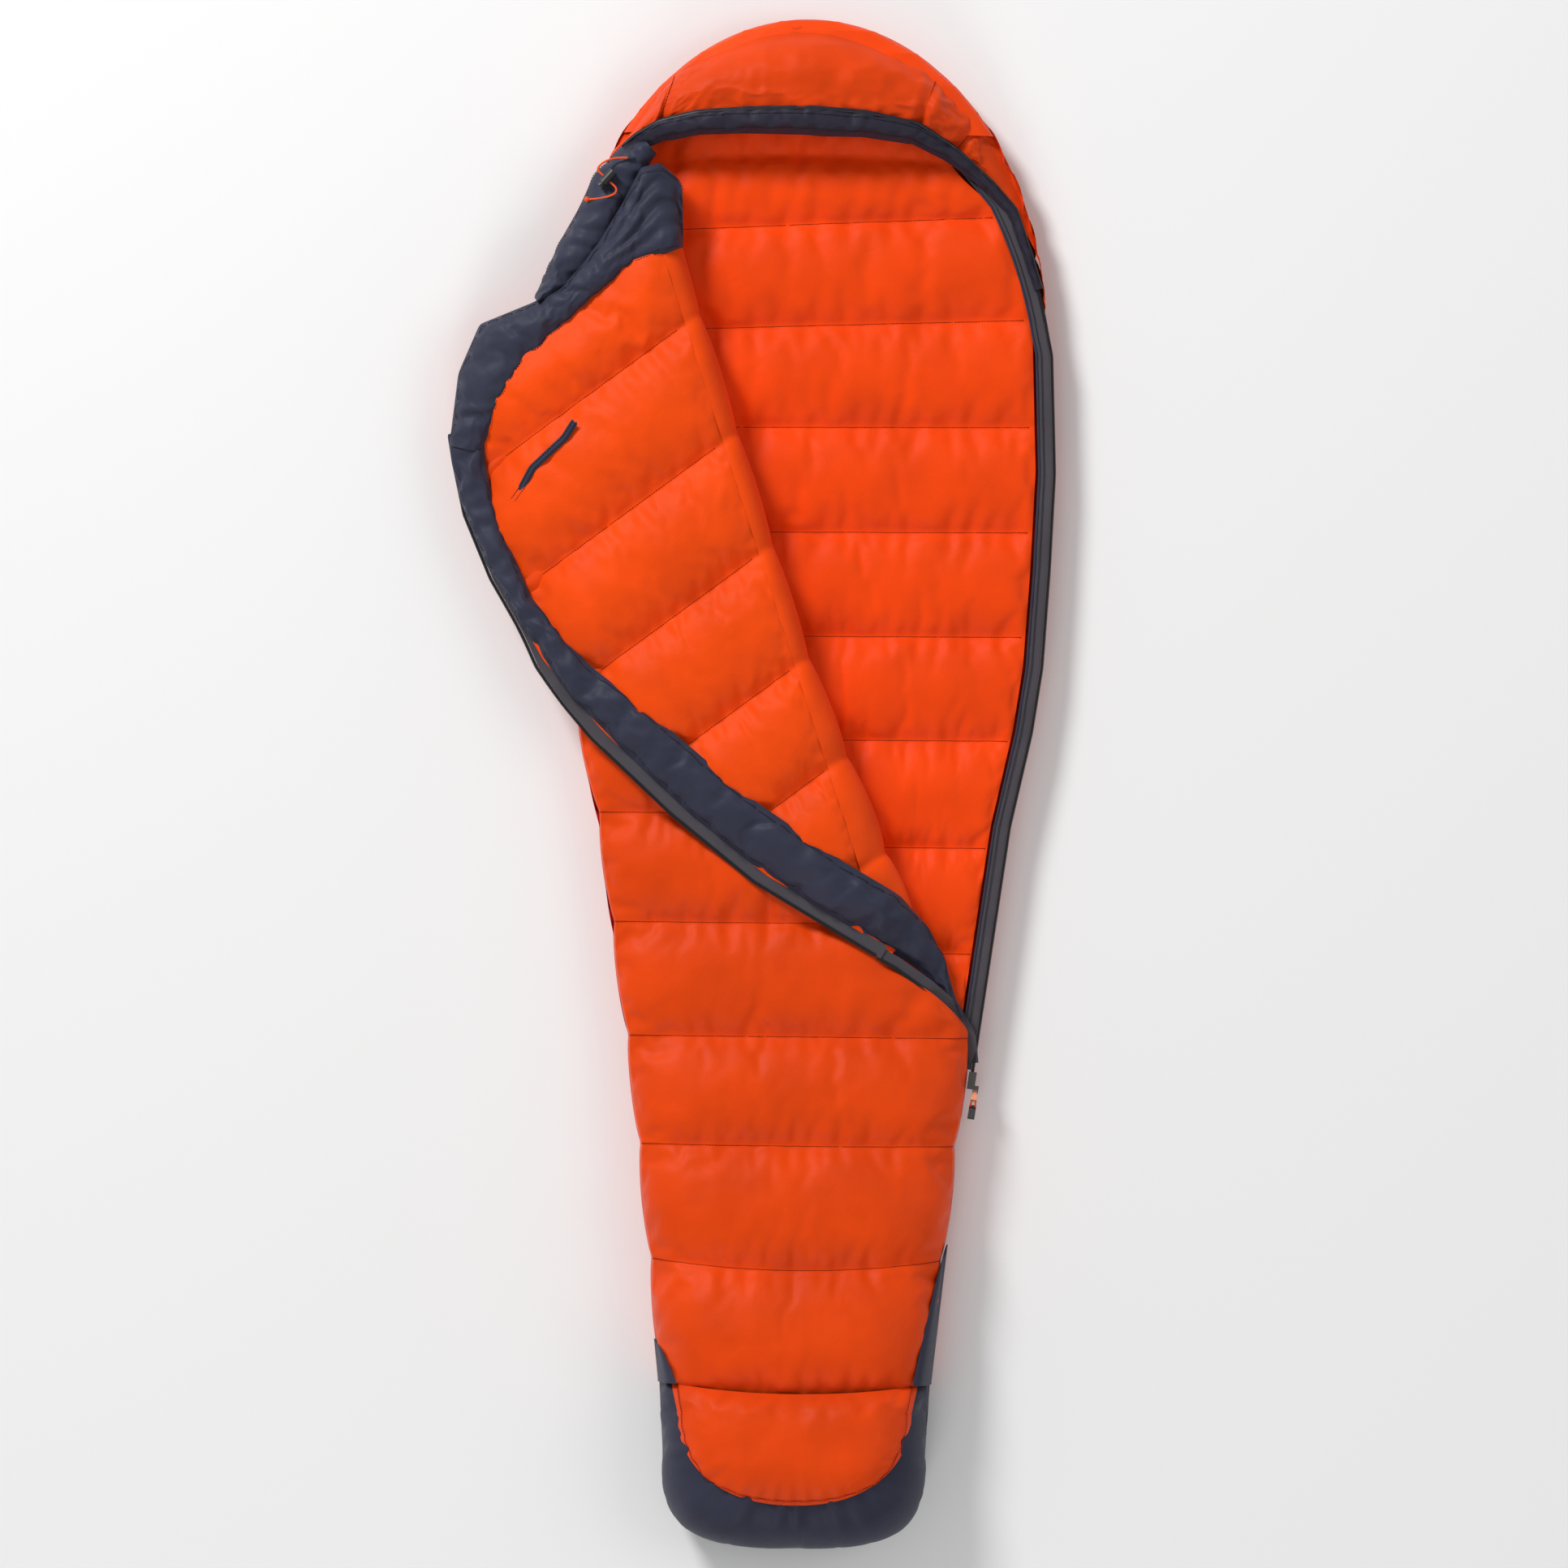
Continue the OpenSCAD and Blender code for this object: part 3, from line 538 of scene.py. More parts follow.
zip_inset = lookup((620, 0), (718, 17), (834, 37), (890, 62))
LINING_SEAMS = [-480, -390, -243, -91, 63, 212, 362, 513, 659, 805, 904, 985, 1075]
seam_tilt = lookup((-243, 0.0), (513, 0.01), (659, 0.036), (805, 0.05), (860, 0.0))


def zip_x(y):
    return half_width(y) + 6 - zip_inset(y)


def back_lining_grid():
    rows = spaced(LINING_SEAMS, 9)
    t = np.linspace(0, 1, 56)
    r = rows[:, None] + 0 * t[None]
    left = np.maximum(fold_x(r) - 62, -half_width(r) + 16)
    right = np.minimum(zip_x(r) - 17 - 5 * (1 - chamber(rows, LINING_SEAMS))[:, None], half_width(r) - 18)
    x = mix(left, right, t[None])
    y = r + seam_tilt(r) * x - 10 * bump(r - 904, 50) * (x / 200) ** 2
    inside = smooth(np.minimum((right - x) / 30, 1))
    z = 30 + 15 * chamber(rows, LINING_SEAMS)[:, None] * (0.35 + 0.65 * inside) + 9 * (1 - inside)
    gathered = smooth((r - 780) / 90) + 0.7 * (1 - inside) * smooth((r - 430) / 150)
    z = z + 2.6 * gathered * grain(x / 17, y / 90, seed=4) + 1.4 * grain(x / 60, y / 45, seed=9)
    z = z + puckers(x, rows, LINING_SEAMS, 71) * inside
    grid = np.stack([x, y, z], 2)
    held = pins(grid.shape, [np.argmin(abs(rows - s)) for s in LINING_SEAMS])
    return blown(grid, held, growth=0.045, cap=8), rows


lining_grid, lining_rows = back_lining_grid()
back_lining = sheet_object("quilted_back_lining", lining_grid, LINING, HOOD_BEND)
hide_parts("back_lining", "hood_back_lining")


def seam_lines(grid, rows, seams, margin=1):
    """The seams' lines, where one step of subdivision leaves them."""
    lines = []
    for seam in seams:
        k = int(np.argmin(abs(rows - seam)))
        lines.append(((grid[k - 1] + 6 * grid[k] + grid[k + 1]) / 8)[margin:-margin])
    return lines


def with_skirt(grid, reach=2, low=37):
    """The sheet with one more column at each side, which closes it down to the back's rim."""
    ends = grid[:, [0, -1]].copy()
    across = ends - grid[:, [-1, 0]]
    ends[..., :2] += reach * across[..., :2] / np.maximum(np.linalg.norm(across[..., :2], axis=2, keepdims=True), 1)
    ends[..., 2] = low
    return np.concatenate([ends[:, :1], grid, ends[:, 1:]], 1)


# The back lining's seam stitches, in the darkened thread, also paint the seams' shade.
stitches_object(
    "back_lining_stitches_and_seam_shade", seam_lines(lining_grid, lining_rows, LINING_SEAMS[2:-3]), THREAD_AND_SEAM_SHADE,
    "bag_body",
)

# ---------------------------------------------------------------- fixed top panel
PANEL_SEAMS = [-859, -683, -519, -364, -201, -44, 106, 256, 406, 556, 706, 892]
MOUTH_HIGH, MOUTH_LOW = -262, -356


def panel_right(y):
    closing = np.clip((MOUTH_HIGH - y) / (MOUTH_HIGH - MOUTH_LOW), 0, 1)
    return np.where(y > MOUTH_LOW, mix(fold_x(y), half_width(y), closing), half_width(y))


def seam_bow(x, r):
    """How far the seams over the legs sag towards the feet in their middle."""
    return -15 * smooth((-480 - r) / 200) * (1 - np.clip(x / np.maximum(half_width(r), 1), -1, 1) ** 2)


def under_flap(x, y):
    s, p = fold_sp(x, y)
    return smooth((flap_edge(s) - p - 5) / 50) * smooth((s - flap_neck(np.maximum(p, 0)) - 5) / 50)


def wrinkled(x, y, amount, size=40, seed=0):
    return amount * (crumple(x / size, y / size, seed) - 0.2)


def top_panel_grid():
    rows = spaced(PANEL_SEAMS, 9)
    t = (domed_columns(64, 210, 60) + 1) / 2
    r = rows[:, None] + 0 * t[None]
    x = mix(-half_width(r), panel_right(r), t[None])
    notch = 7 * (1 - chamber(rows, PANEL_SEAMS))[:, None]
    x = x + notch * np.where(t[None] < 0.5, 1, -1) * np.abs(2 * t[None] - 1) ** 6 * (r < 900)
    y = r + seam_bow(x, r)
    edge = 1 - np.abs(2 * t[None] - 1) ** 5
    z = top_z(x, y) + (18 * chamber(rows, PANEL_SEAMS)[:, None] - 14) * edge
    z = z + wrinkled(x, y, 2.0, 45, 2) * edge - 12 * under_flap(x, y)
    z = z + puckers(x, rows, PANEL_SEAMS, 72) * edge
    grid = np.stack([x, y, z], 2)
    held = pins(grid.shape, [np.argmin(abs(rows - s)) for s in PANEL_SEAMS])
    return blown(grid, held, growth=0.045, cap=8), rows


panel_grid, panel_rows = top_panel_grid()
top_panel = sheet_object("quilted_top_panel", with_skirt(panel_grid, 3), OUTER, "bag_body")
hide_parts("top_panel_shell", "top_panel_fill", "top_panel_lining")
# The top panel's seam stitches, in the darkened thread, also paint the seams' shade.
stitches_object(
    "top_panel_stitches_and_seam_shade", seam_lines(panel_grid, panel_rows, PANEL_SEAMS[1:6]), THREAD_AND_SEAM_SHADE,
    "bag_body",
)

# ---------------------------------------------------------------- footbox
FOOT_SEAMS = [-1100, -859]
INSERT_TOP, INSERT_TURN, INSERT_END, INSERT_HALF = -859, -900, -1032, 168
INSERT_POWER = 2.2


def footbox_grid():
    rows = spaced(FOOT_SEAMS, 7)
    u = domed_columns(64, 190, 95)
    x, y = plan(u[None], rows[:, None])
    y = y + seam_bow(x, rows[:, None]) * smooth((rows[:, None] + 940) / 80)
    angle = np.arctan2(y + 900, x)
    swell = dome(x, y) ** 0.5
    z = top_z(x, y) + 4 * swell - 4 - 15 * smooth((rows[:, None] + 885) / 26) + 5 * swell * grain(angle * 15, 0 * x, seed=6)
    grid = np.stack([x, y, z], 2)
    return blown(grid, pins(grid.shape), growth=0.09, cap=8)


def insert_grid():
    v = np.concatenate([np.linspace(1, 0.02, 22), -np.linspace(0, 1, 8)])[:, None]
    u = np.linspace(-1, 1, 42)[None]
    past = np.clip(v, 0, 1)
    shrink = (1 - past**INSERT_POWER / 2) ** (1 / INSERT_POWER)
    x = u * shrink * (INSERT_HALF + 9 * np.clip(-v, 0, 1))
    depth = past * (1 - np.abs(u) ** INSERT_POWER / 2) ** (1 / INSERT_POWER)
    y = INSERT_TURN - (INSERT_TURN - INSERT_END) * depth + (INSERT_TOP - INSERT_TURN) * np.clip(-v, 0, 1)
    y = y + seam_bow(x, y + 0 * x) * np.clip(-v, 0, 1)
    edge = np.clip((np.abs(u) ** 6 + np.abs(v) ** 6) ** (1 / 6), 0, 1)
    z = top_z(x, y) + 9 + 6.5 * (1 - edge**5)
    z = z - 17 * np.clip(-v, 0, 1) ** 3
    z = z + 1.5 * edge**3 * np.sin(np.arctan2(y + 900, x) * 34) * past + wrinkled(x, y, 1.6, 50, 8)
    grid = np.stack([x, y, z], 2)
    return blown(grid, pins(grid.shape), growth=0.04, cap=7)


def side_strip_grid(side, start, width):
    """Navy side of the foot, running up beside the orange panel to a point."""
    rows = spaced([-862, start], 8)
    t = np.linspace(-0.3, 1, 8)[None]
    y = rows[:, None] + 0 * t
    reach = width * np.clip((start - y) / (start + 862), 0, 1) ** 0.8
    x = side * (half_width(y) - reach * np.maximum(t, 0) + 4 - 2 * np.maximum(t, 0))
    z = top_z(np.minimum(np.abs(x), half_width(y)), y) + 7 * np.sin(np.pi * np.maximum(t, 0)) + 7
    z = z + 80 * np.minimum(t, 0)
    grid = np.stack([x, y, z], 2)
    return grid if side < 0 else grid[:, ::-1]


foot_grid = footbox_grid()
foot_hem = foot_grid[:1] + [0, -1, 0]
foot_hem[..., 2] = 37
footbox = sheet_object("quilted_footbox", with_skirt(np.concatenate([foot_hem, foot_grid])), FOOT_NAVY, "bag_body")
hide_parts("footbox_shell", "footbox_fill", "footbox_lining")
insert = insert_grid()
foot_insert = sheet_object("quilted_foot_insert", insert, OUTER, "bag_body")
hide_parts("foot_insert_panel")
for side, start, name in ((1, -660, "right"), (-1, -800, "left")):
    strip = side_strip_grid(side, start, 26)
    sheet_object(f"{name}_foot_strip", strip, FOOT_NAVY, "bag_body")
# The foot insert's rim stitches, in the darkened thread, also paint shade along the insert's seam.
insert_rim = np.concatenate([insert[:0:-1, 1], insert[1, 1:-1], insert[1:, -2]]) + [0, 0, 1]
stitches_object("foot_insert_stitches_and_seam_shade", [insert_rim], THREAD_AND_SEAM_SHADE, "bag_body")

# ---------------------------------------------------------------- folded flap
FLAP_SEAMS = [22, 237, 415, 584, 753, 907, 1060, 1190]
SEAM_SLANT = 0.333


def flap_rows_and_places(columns):
    """s and p of the flap's grid. Its rows follow the seams, which slant down to the left."""
    q = spaced(FLAP_SEAMS, 8)
    end = np.full(len(q), 380.0)
    for _ in range(60):
        end = 0.5 * end + 0.5 * np.clip(flap_edge(np.maximum(q, 184) + SEAM_SLANT * end), 8, 400)
    end = np.where(q < FLAP_SEAMS[1], mix(385, end, (q - 22) / (FLAP_SEAMS[1] - 22)), end)
    p = mix(3, end[:, None] - 14, columns[None])
    into = np.clip((q[:, None] - FLAP_SEAMS[0]) / (FLAP_SEAMS[1] - FLAP_SEAMS[0]), 0, 1)
    neck = flap_neck(p) + 7 - SEAM_SLANT * p
    row = np.where(q[:, None] < FLAP_SEAMS[1], mix(neck, FLAP_SEAMS[1], into), q[:, None])
    return q, row + SEAM_SLANT * p, p


def flap_lining_grid():
    q, s, p = flap_rows_and_places(np.linspace(0, 1, 50))
    x, y = fold_xy(s, p)
    puff = chamber(q, FLAP_SEAMS)[:, None]
    edge = smooth((flap_edge(s) - p) / 40)
    z = FLAP_Z + flap_depth(s, p) - droop(x, y) + (18 * puff - 19) * (0.25 + 0.75 * edge)
    z = z + (wrinkled(x, y, 2.2, 50, 5) + puckers(p, q, FLAP_SEAMS, 73)) * edge
    grid = np.stack([x, y, z], 2)[:, ::-1]
    held = pins(grid.shape, [np.argmin(abs(q - k)) for k in FLAP_SEAMS])
    return blown(grid[::-1], held[::-1], growth=0.045, cap=8)[::-1], q


def flap_shell_grid():
    q, s, p = flap_rows_and_places(np.linspace(0, 1, 36))
    x, y = fold_xy(s, p)
    z = FLAP_Z + 8 - droop(x, y) - 9 * chamber(q, FLAP_SEAMS)[:, None] * smooth((flap_edge(s) - p) / 40)
    grid = np.stack([x, y, z], 2)
    held = pins(grid.shape, [np.argmin(abs(q - k)) for k in FLAP_SEAMS])
    return blown(grid[::-1], held[::-1], growth=0.03, cap=4)[::-1]


def roll_grid(upper):
    """Half of the roll's skin: upper from the pad down to the roll's side, lower from there to the back."""
    q = spaced(FLAP_SEAMS, 8)
    a = np.linspace(0, math.pi / 2, 9)[None]
    pinch = 1 - 0.2 * (1 - chamber(q, FLAP_SEAMS))[:, None]
    side = roll_edge(q)[:, None] * pinch
    x0, y0 = fold_xy(q, np.full(len(q), 3.0))
    top = FLAP_Z + flap_depth(q, 3.0) - droop(x0, y0) + (18 * chamber(q, FLAP_SEAMS) - 19) * 0.8
    if upper:
        p = mix(3, side, np.sin(a))
        z = 82 + (top[:, None] - 82) * np.cos(a)
    else:
        p = mix(-4, side, np.cos(a))
        z = 44 + 38 * (1 - np.sin(a))
    s = q[:, None] + SEAM_SLANT * p
    x, y = fold_xy(s, p)
    return np.stack([x, y, z + 1.5 * grain(s / 30, p / 25, seed=7)], 2)


flap_lining, flap_q = flap_lining_grid()
flap_top = sheet_object("quilted_flap_lining", flap_lining, FLAP_LINING, "flap")
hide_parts("flap_lining", "flap_fill", "inner_pocket_bag")
flap_under = sheet_object("quilted_flap_shell", flap_shell_grid(), OUTER, "flap")
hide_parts("flap_shell")
# The flap's seam stitches, in the darkened thread, also paint the seams' shade.
stitches_object(
    "flap_stitches_and_seam_shade", seam_lines(flap_lining, flap_q, FLAP_SEAMS[1:-1], 2), THREAD_AND_SEAM_SHADE, "flap"
)
ROLL_MIDDLE = 600


def fold_point(p, z):
    x, y = fold_xy(ROLL_MIDDLE, p)
    return point((x, y, z))


roll_top = sheet_object(
    "rolled_lining_top", roll_grid(True), FLAP_LINING, ("fold", "flap", fold_point(-24, 84), fold_point(3, 112)),
)
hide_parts("fold_lining", "fold_fill", "fold_shell")
roll_side = sheet_object(
    "rolled_lining_side", roll_grid(False), FLAP_LINING,
    ("bag_body", "fold", fold_point(-8, 48), fold_point(-20, 80)),
)


# ---------------------------------------------------------------- rolls and bindings on the flap
def ruled(near, far, rows, columns, profile):
    """A strip between two lines; profile(t, x, y) gives its height, t from 0 at near to 1 at far."""
    near, far = resampled(np.array(near, float), rows), resampled(np.array(far, float), rows)
    t = np.linspace(0, 1, columns)[None]
    x = mix(near[:, None, 0], far[:, None, 0], t)
    y = mix(near[:, None, 1], far[:, None, 1], t)
    return np.stack([x, y, profile(t, x, y)], 2)


def facing_up(grid):
    return grid if normals_of(grid)[..., 2].mean() > 0 else grid[:, ::-1]


def tube_profile(height, lift=-1):
    def profile(t, x, y):
        round_top = np.sqrt(np.clip(np.sin(np.pi * t), 0, 1))
        return pad_top(x, y) + lift + height * round_top + wrinkled(x, y, 2.4, 26, 12) * round_top
    return profile


ZIP_EDGE = [
    (-515, 497), (-508, 455), (-496, 403), (-458, 312), (-404, 222), (-342, 132), (-246, 34), (-157, -48), (-67, -118),
    (24, -177), (116, -231), (164, -260), (208, -297), (240, -340),
]
TUBE_INNER = [
    (-462, 497), (-459, 450), (-447, 400), (-432, 356), (-391, 263), (-309, 169), (-190, 76), (-78, -18), (61, -111),
    (142, -158), (185, -204), (209, -251), (222, -298), (238, -336),
]
tube = facing_up(ruled(ZIP_EDGE, TUBE_INNER, 130, 13, tube_profile(17)))
tube = blown(tube, pins(tube.shape), growth=0.09, cap=7)
low_end = smooth((fold_sp(tube[..., 0], tube[..., 1])[0] - 1120) / 130)
tube[..., 2] = mix(tube[..., 2], 46 + 0.45 * (tube[..., 2] - 46), low_end)
LOW_BEND = ("fold", "flap", point((*fold_xy(1130, -30), 60)), point((*fold_xy(1130, 12), 66)))
zip_tube = sheet_object("padded_zip_tube", tube, NAVY, LOW_BEND)
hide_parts("zip_draft_tube")

NECK_EDGE = [
    (-180, 842), (-188, 868), (-212, 888), (-240, 882), (-266, 830), (-300, 773), (-345, 716), (-392, 687), (-470, 655),
    (-500, 585), (-512, 480),
]
COLLAR_INNER = [
    (-178, 768), (-189, 763), (-204, 757), (-224, 750), (-250, 741), (-280, 716), (-310, 692), (-354, 647), (-402, 600),
    (-438, 542), (-466, 470),
]


def collar_profile(t, x, y):
    round_top = np.sqrt(np.clip(np.sin(np.pi * t), 0, 1))
    s, p = fold_sp(x, y)
    near_roll = smooth((120 - p) / 90)
    bend = 0.1 * np.sin(p / 22)
    folds = sum(bump(t - place - bend, 0.055) for place in (0.27, 0.5, 0.72))
    folds = folds + 0.5 * (1 - near_roll) * np.abs(grain(p / 13, t * 0.7, seed=21))
    return pad_top(x, y) - 2 + 21 * round_top + (wrinkled(x, y, 3, 26, 14) - 11 * folds * near_roll) * round_top


collar = facing_up(ruled(NECK_EDGE, COLLAR_INNER, 84, 17, collar_profile))
collar = blown(collar, pins(collar.shape), growth=0.09, cap=8)
flap_collar = sheet_object("padded_flap_collar", collar, NAVY, "flap")
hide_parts("flap_draft_collar")

LEFT_VALLEY = [(-218, 902), (-228, 889), (-250, 836), (-280, 780), (-308, 738), (-338, 708), (-384, 684)]
LEFT_OUTER = [(-240, 926), (-270, 912), (-308, 872), (-330, 823), (-356, 776), (-377, 729), (-392, 694)]


def left_collar_profile(t, x, y):
    round_top = np.sqrt(np.clip(np.sin(np.pi * t), 0, 1))
    fold = 1 - 2 * np.abs(grain(y / 24, t * 0.8, seed=31))
    return 72 - 16 * t**3 + (27 + 4 * fold + wrinkled(x, y, 2.5, 28, 17)) * round_top


left_roll = facing_up(ruled(LEFT_VALLEY, LEFT_OUTER, 50, 15, left_collar_profile))
left_roll = blown(left_roll, pins(left_roll.shape), growth=0.09, cap=7)
left_collar = sheet_object("padded_left_collar", left_roll, NAVY, "bag_body")
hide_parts("left_draft_collar")
for name, grid, body in (
    ("zip_tube", tube, LOW_BEND), ("flap_collar", collar, "flap"), ("left_collar", left_roll, "bag_body"),
):
    stitches_object(f"{name}_stitches", [grid[2:-2, 1], grid[2:-2, -2]], NAVY_THREAD, body)

POCKET_LINE = [(-331, 515), (-345, 492), (-368, 470), (-391, 448), (-406, 420), (-424, 394)]


def pocket_profile(t, x, y):
    return pad_top(x, y) + 3.5 + 2.2 * np.sin(np.pi * t) + 0.6 * grain(x / 9, y / 9, seed=5)


pocket_line = resampled(np.array(POCKET_LINE, float), 40)
pocket_across = np.stack([pocket_line[:, 1] * 0 - 0.82, pocket_line[:, 0] * 0 + 0.57], 1)
pocket = facing_up(ruled(pocket_line - 5.5 * pocket_across, pocket_line + 5.5 * pocket_across, 44, 6, pocket_profile))
binding = sheet_object("pocket_mouth_binding", pocket, NAVY, "flap")
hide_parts("inner_pocket_binding")
stitches_object("pocket_stitches", [pocket[:, 1], pocket[:, -2]], NAVY_THREAD, "flap", 0.8)


# ---------------------------------------------------------------- hood
# The front lip: x, y, height, and the angle at which its panel meets the outline.
LIP = [
    (344, 688, 47, 4.5), (334, 760, 47, 13), (float(zip_x(830)) + 10, 830, 48, 25),
    (float(zip_x(890)) + 8, 888, 54, 37), (208, 918, 68, 44), (158, 948, 92, 57), (80, 963, 108, 73),
    (0, 968, 114, 90), (-90, 966, 112, 103), (-160, 961, 106, 113), (-215, 948, 96, 124),
    (-250, 925, 86, 136), (-280, 893, 78, 147),
]
HOOD_SEAM_ANGLES = (57, 124)
CROWN_ARC = 0.86


def hood_outer_grid():
    count = 150
    lip = np.array(LIP)
    along = np.linspace(0, len(LIP) - 1, count)
    lip = np.stack([np.interp(along, range(len(LIP)), lip[:, k]) for k in range(4)], 1)
    b = np.linspace(0, 1, 30)[None]
    angle = np.radians(lip[:, 3])[:, None]
    outer_x, outer_y = CROWN_HALF * np.cos(angle), CROWN_Y + HOOD_DEPTH * np.sin(angle)
    span = np.hypot(outer_x - lip[:, :1], outer_y - lip[:, 1:2])
    x, y = mix(lip[:, :1], outer_x, b), mix(lip[:, 1:2], outer_y, b)
    degrees = lip[:, 3:4] + 0 * b
    seam = sum(bump(degrees - a, 1.6) for a in HOOD_SEAM_ANGLES + (43,))
    crown_part = smooth((degrees - 52) / 8) * smooth((130 - degrees) / 8)
    seam = np.clip(seam + bump(b - CROWN_ARC, 0.035) * crown_part, 0, 1)
    swell = np.sin(np.pi * np.clip(b, 0, 1)) ** 0.7 * np.minimum(span * 0.16, 13)
    z = mix(lip[:, 2:3], 38, b**3.4) + swell - 10 * seam
    gathers = bump(b, 0.3) * crown_part * 3.0 * grain(degrees / 2.6, b * 1.2, seed=41)
    z = z + gathers + wrinkled(x, y, 3.0, 42, 43) * np.sin(np.pi * b) * np.clip(span / 60, 0, 1)
    grid = np.stack([x, y, z], 2)[:, ::-1]
    held = pins(grid.shape) | (seam[:, ::-1] > 0.75)
    return blown(grid, held, growth=0.04, cap=8)


hood_outer = hood_outer_grid()
HOOD_TOP_BEND = ("bag_body", "hood", (0, 0.86, 0.05), (0, 0.95, 0.05))
hood = sheet_object("padded_hood", hood_outer, HOOD_OUTER, HOOD_TOP_BEND)
hood_lip = np.array(LIP)
hood_places = [np.interp(a, hood_lip[:, 3], range(len(LIP))) / (len(LIP) - 1) for a in (43,) + HOOD_SEAM_ANGLES]
hood_seams = [hood_outer[int(round(k * (len(hood_outer) - 1))), 2:-2] for k in hood_places]
# The hood's seam stitches, in the darkened thread, also paint the seams' shade.
stitches_object("hood_stitches_and_seam_shade", hood_seams, THREAD_AND_SEAM_SHADE, HOOD_TOP_BEND, 0.8)
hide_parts("hood_crown_panel", "hood_left_panel", "hood_right_panel", "hood_fill", "shoulder_side_panel")


FRONT_LIP = [
    (338, 716, 47), (322, 768, 48), (300, 830, 49), (266, 868, 53), (225, 904, 66), (208, 918, 70), (158, 948, 94),
    (80, 963, 110), (0, 968, 116), (-90, 966, 114), (-160, 961, 108), (-215, 948, 98), (-248, 929, 88),
    (-268, 912, 82),
]


def face_band_grid():
    line = resampled(np.array(FRONT_LIP, float), 130)
    along = np.gradient(line[:, :2], axis=0)
    along /= np.linalg.norm(along, axis=1, keepdims=True)
    inward = np.stack([-along[:, 1], along[:, 0]], 1)
    share = np.linspace(0, 1, len(line))
    width = np.interp(share, [0, 0.25, 0.42, 0.6, 0.9, 1], [12, 18, 30, 38, 30, 20])
    c = np.linspace(-0.12, 1, 12)[None]
    x = line[:, None, 0] + inward[:, None, 0] * width[:, None] * c
    y = line[:, None, 1] + inward[:, None, 1] * width[:, None] * c
    height = np.interp(share, [0, 0.3, 0.5, 0.85, 1], [3, 8, 20, 18, 12])[:, None]
    z = line[:, None, 2] + 5 * np.sqrt(np.clip(np.sin(np.pi * np.clip(c, 0, 1)), 0, 1)) + 2
    z = z - height * np.clip((c - 0.55) / 0.45, 0, 1) ** 2
    z = z + 2.0 * grain(share[:, None] * 60, c * 1.5, seed=51) * np.clip(c, 0, 1)
    return facing_up(np.stack([x, y, z], 2))


band = face_band_grid()
band = blown(band, pins(band.shape), growth=0.04, cap=4)
BAND_BEND = ("bag_body", "hood", (0, 0.84, 0.05), (0, 0.92, 0.06))
face_band = sheet_object("padded_face_band", band, BAND_NAVY, BAND_BEND)
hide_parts("hood_face_band", "hood_channel_drawcord")
stitches_object("face_band_stitches", [band[2:-2, 2], band[2:-2, -4]], NAVY_THREAD, BAND_BEND)
piping = resampled(np.array(FRONT_LIP, float), 120) + [0, 0, 3.5]
tube_object("face_band_piping", piping, 1.7, COIL, BAND_BEND, 8)


# ---------------------------------------------------------------- zip
def zip_line(y, offset, z):
    y = np.asarray(y, float)
    return np.stack([zip_x(y) + offset, y, 0 * y + z], 1)


def tape_grid(line, across, width, columns=6):
    t = np.linspace(-0.5, 0.5, columns)[None, :, None]
    grid = line[:, None] + across[:, None] * width * t
    grid[..., 2] += 0.5 * grain(grid[..., 0] / 14, grid[..., 1] / 14, seed=61)
    return facing_up(grid)


COIL_PITCH = 2.3


def coil_object(name, line, width, body):
    """Coil turns side by side, each a small bar with its two ends bent down."""
    length = np.linalg.norm(np.diff(line, axis=0), axis=1).sum()
    centres = resampled(line, int(length / COIL_PITCH))
    along, across, up = frames_along(centres)
    parts = [
        box_row(centres + up * 1.5, along, across, up, (1.5, width * 0.62, 1.5)),
        box_row(centres + across * width * 0.36, along, across, up, (1.5, width * 0.28, 3.2)),
        box_row(centres - across * width * 0.36, along, across, up, (1.5, width * 0.28, 3.2)),
        box_row(centres - up * 0.9, along, across, up, (COIL_PITCH, width * 0.7, 1.4)),
    ]
    verts = np.concatenate([v for v, _ in parts])
    start = np.cumsum([0] + [len(v) for v, _ in parts[:-1]])
    faces = np.concatenate([f + k for (_, f), k in zip(parts, start)])
    obj = new_object(name, verts, faces.tolist(), COIL, flat=True)
    carry(obj, body)
    return obj


open_y = np.linspace(-408, 890, 176)
tape_line = zip_line(open_y, -9, 46.5)
right_tape = sheet_object(
    "woven_back_tape", tape_grid(tape_line, frames_along(tape_line)[1], 19), TAPE, "bag_body", 0,
)
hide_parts("back_zip_tape")
back_coil = coil_object("back_coil_turns", zip_line(np.linspace(-431, 889, 190), 2.9, 46.8), 5.2, "bag_body")
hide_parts("back_zip_coil")
edge_y = np.linspace(-345, 888, 200)
edge_piping = zip_line(edge_y, -18.5, 46.5)
back_piping = tube_object("lining_edge_piping", edge_piping, 1.8, NAVY, "bag_body", 8)
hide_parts("zip_edge_binding")
stitches_object("back_tape_stitches", [zip_line(edge_y, -12, 47.6)], NAVY_THREAD, "bag_body")

flap_s = np.linspace(322, 1184, 130)
flap_p = flap_edge(flap_s)


def flap_line(offset, rise):
    """A line beside the flap's zip edge. Near the corner the edge is rolled under the tube."""
    tucked = smooth((720 - flap_s) / 160)
    x, y = fold_xy(flap_s, flap_p + offset - 12 * tucked)
    return np.stack([x, y, pad_top(x, y) + rise - 5 * tucked], 1)


front_tape = sheet_object(
    "woven_flap_tape", tape_grid(flap_line(-8, -1), frames_along(flap_line(-8, 0))[1], 20), TAPE, "flap",
    0,
)
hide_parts("flap_zip_tape")
front_coil = coil_object("flap_coil_turns", flap_line(5, -1.5), 5.2, "flap")
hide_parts("flap_zip_coil")

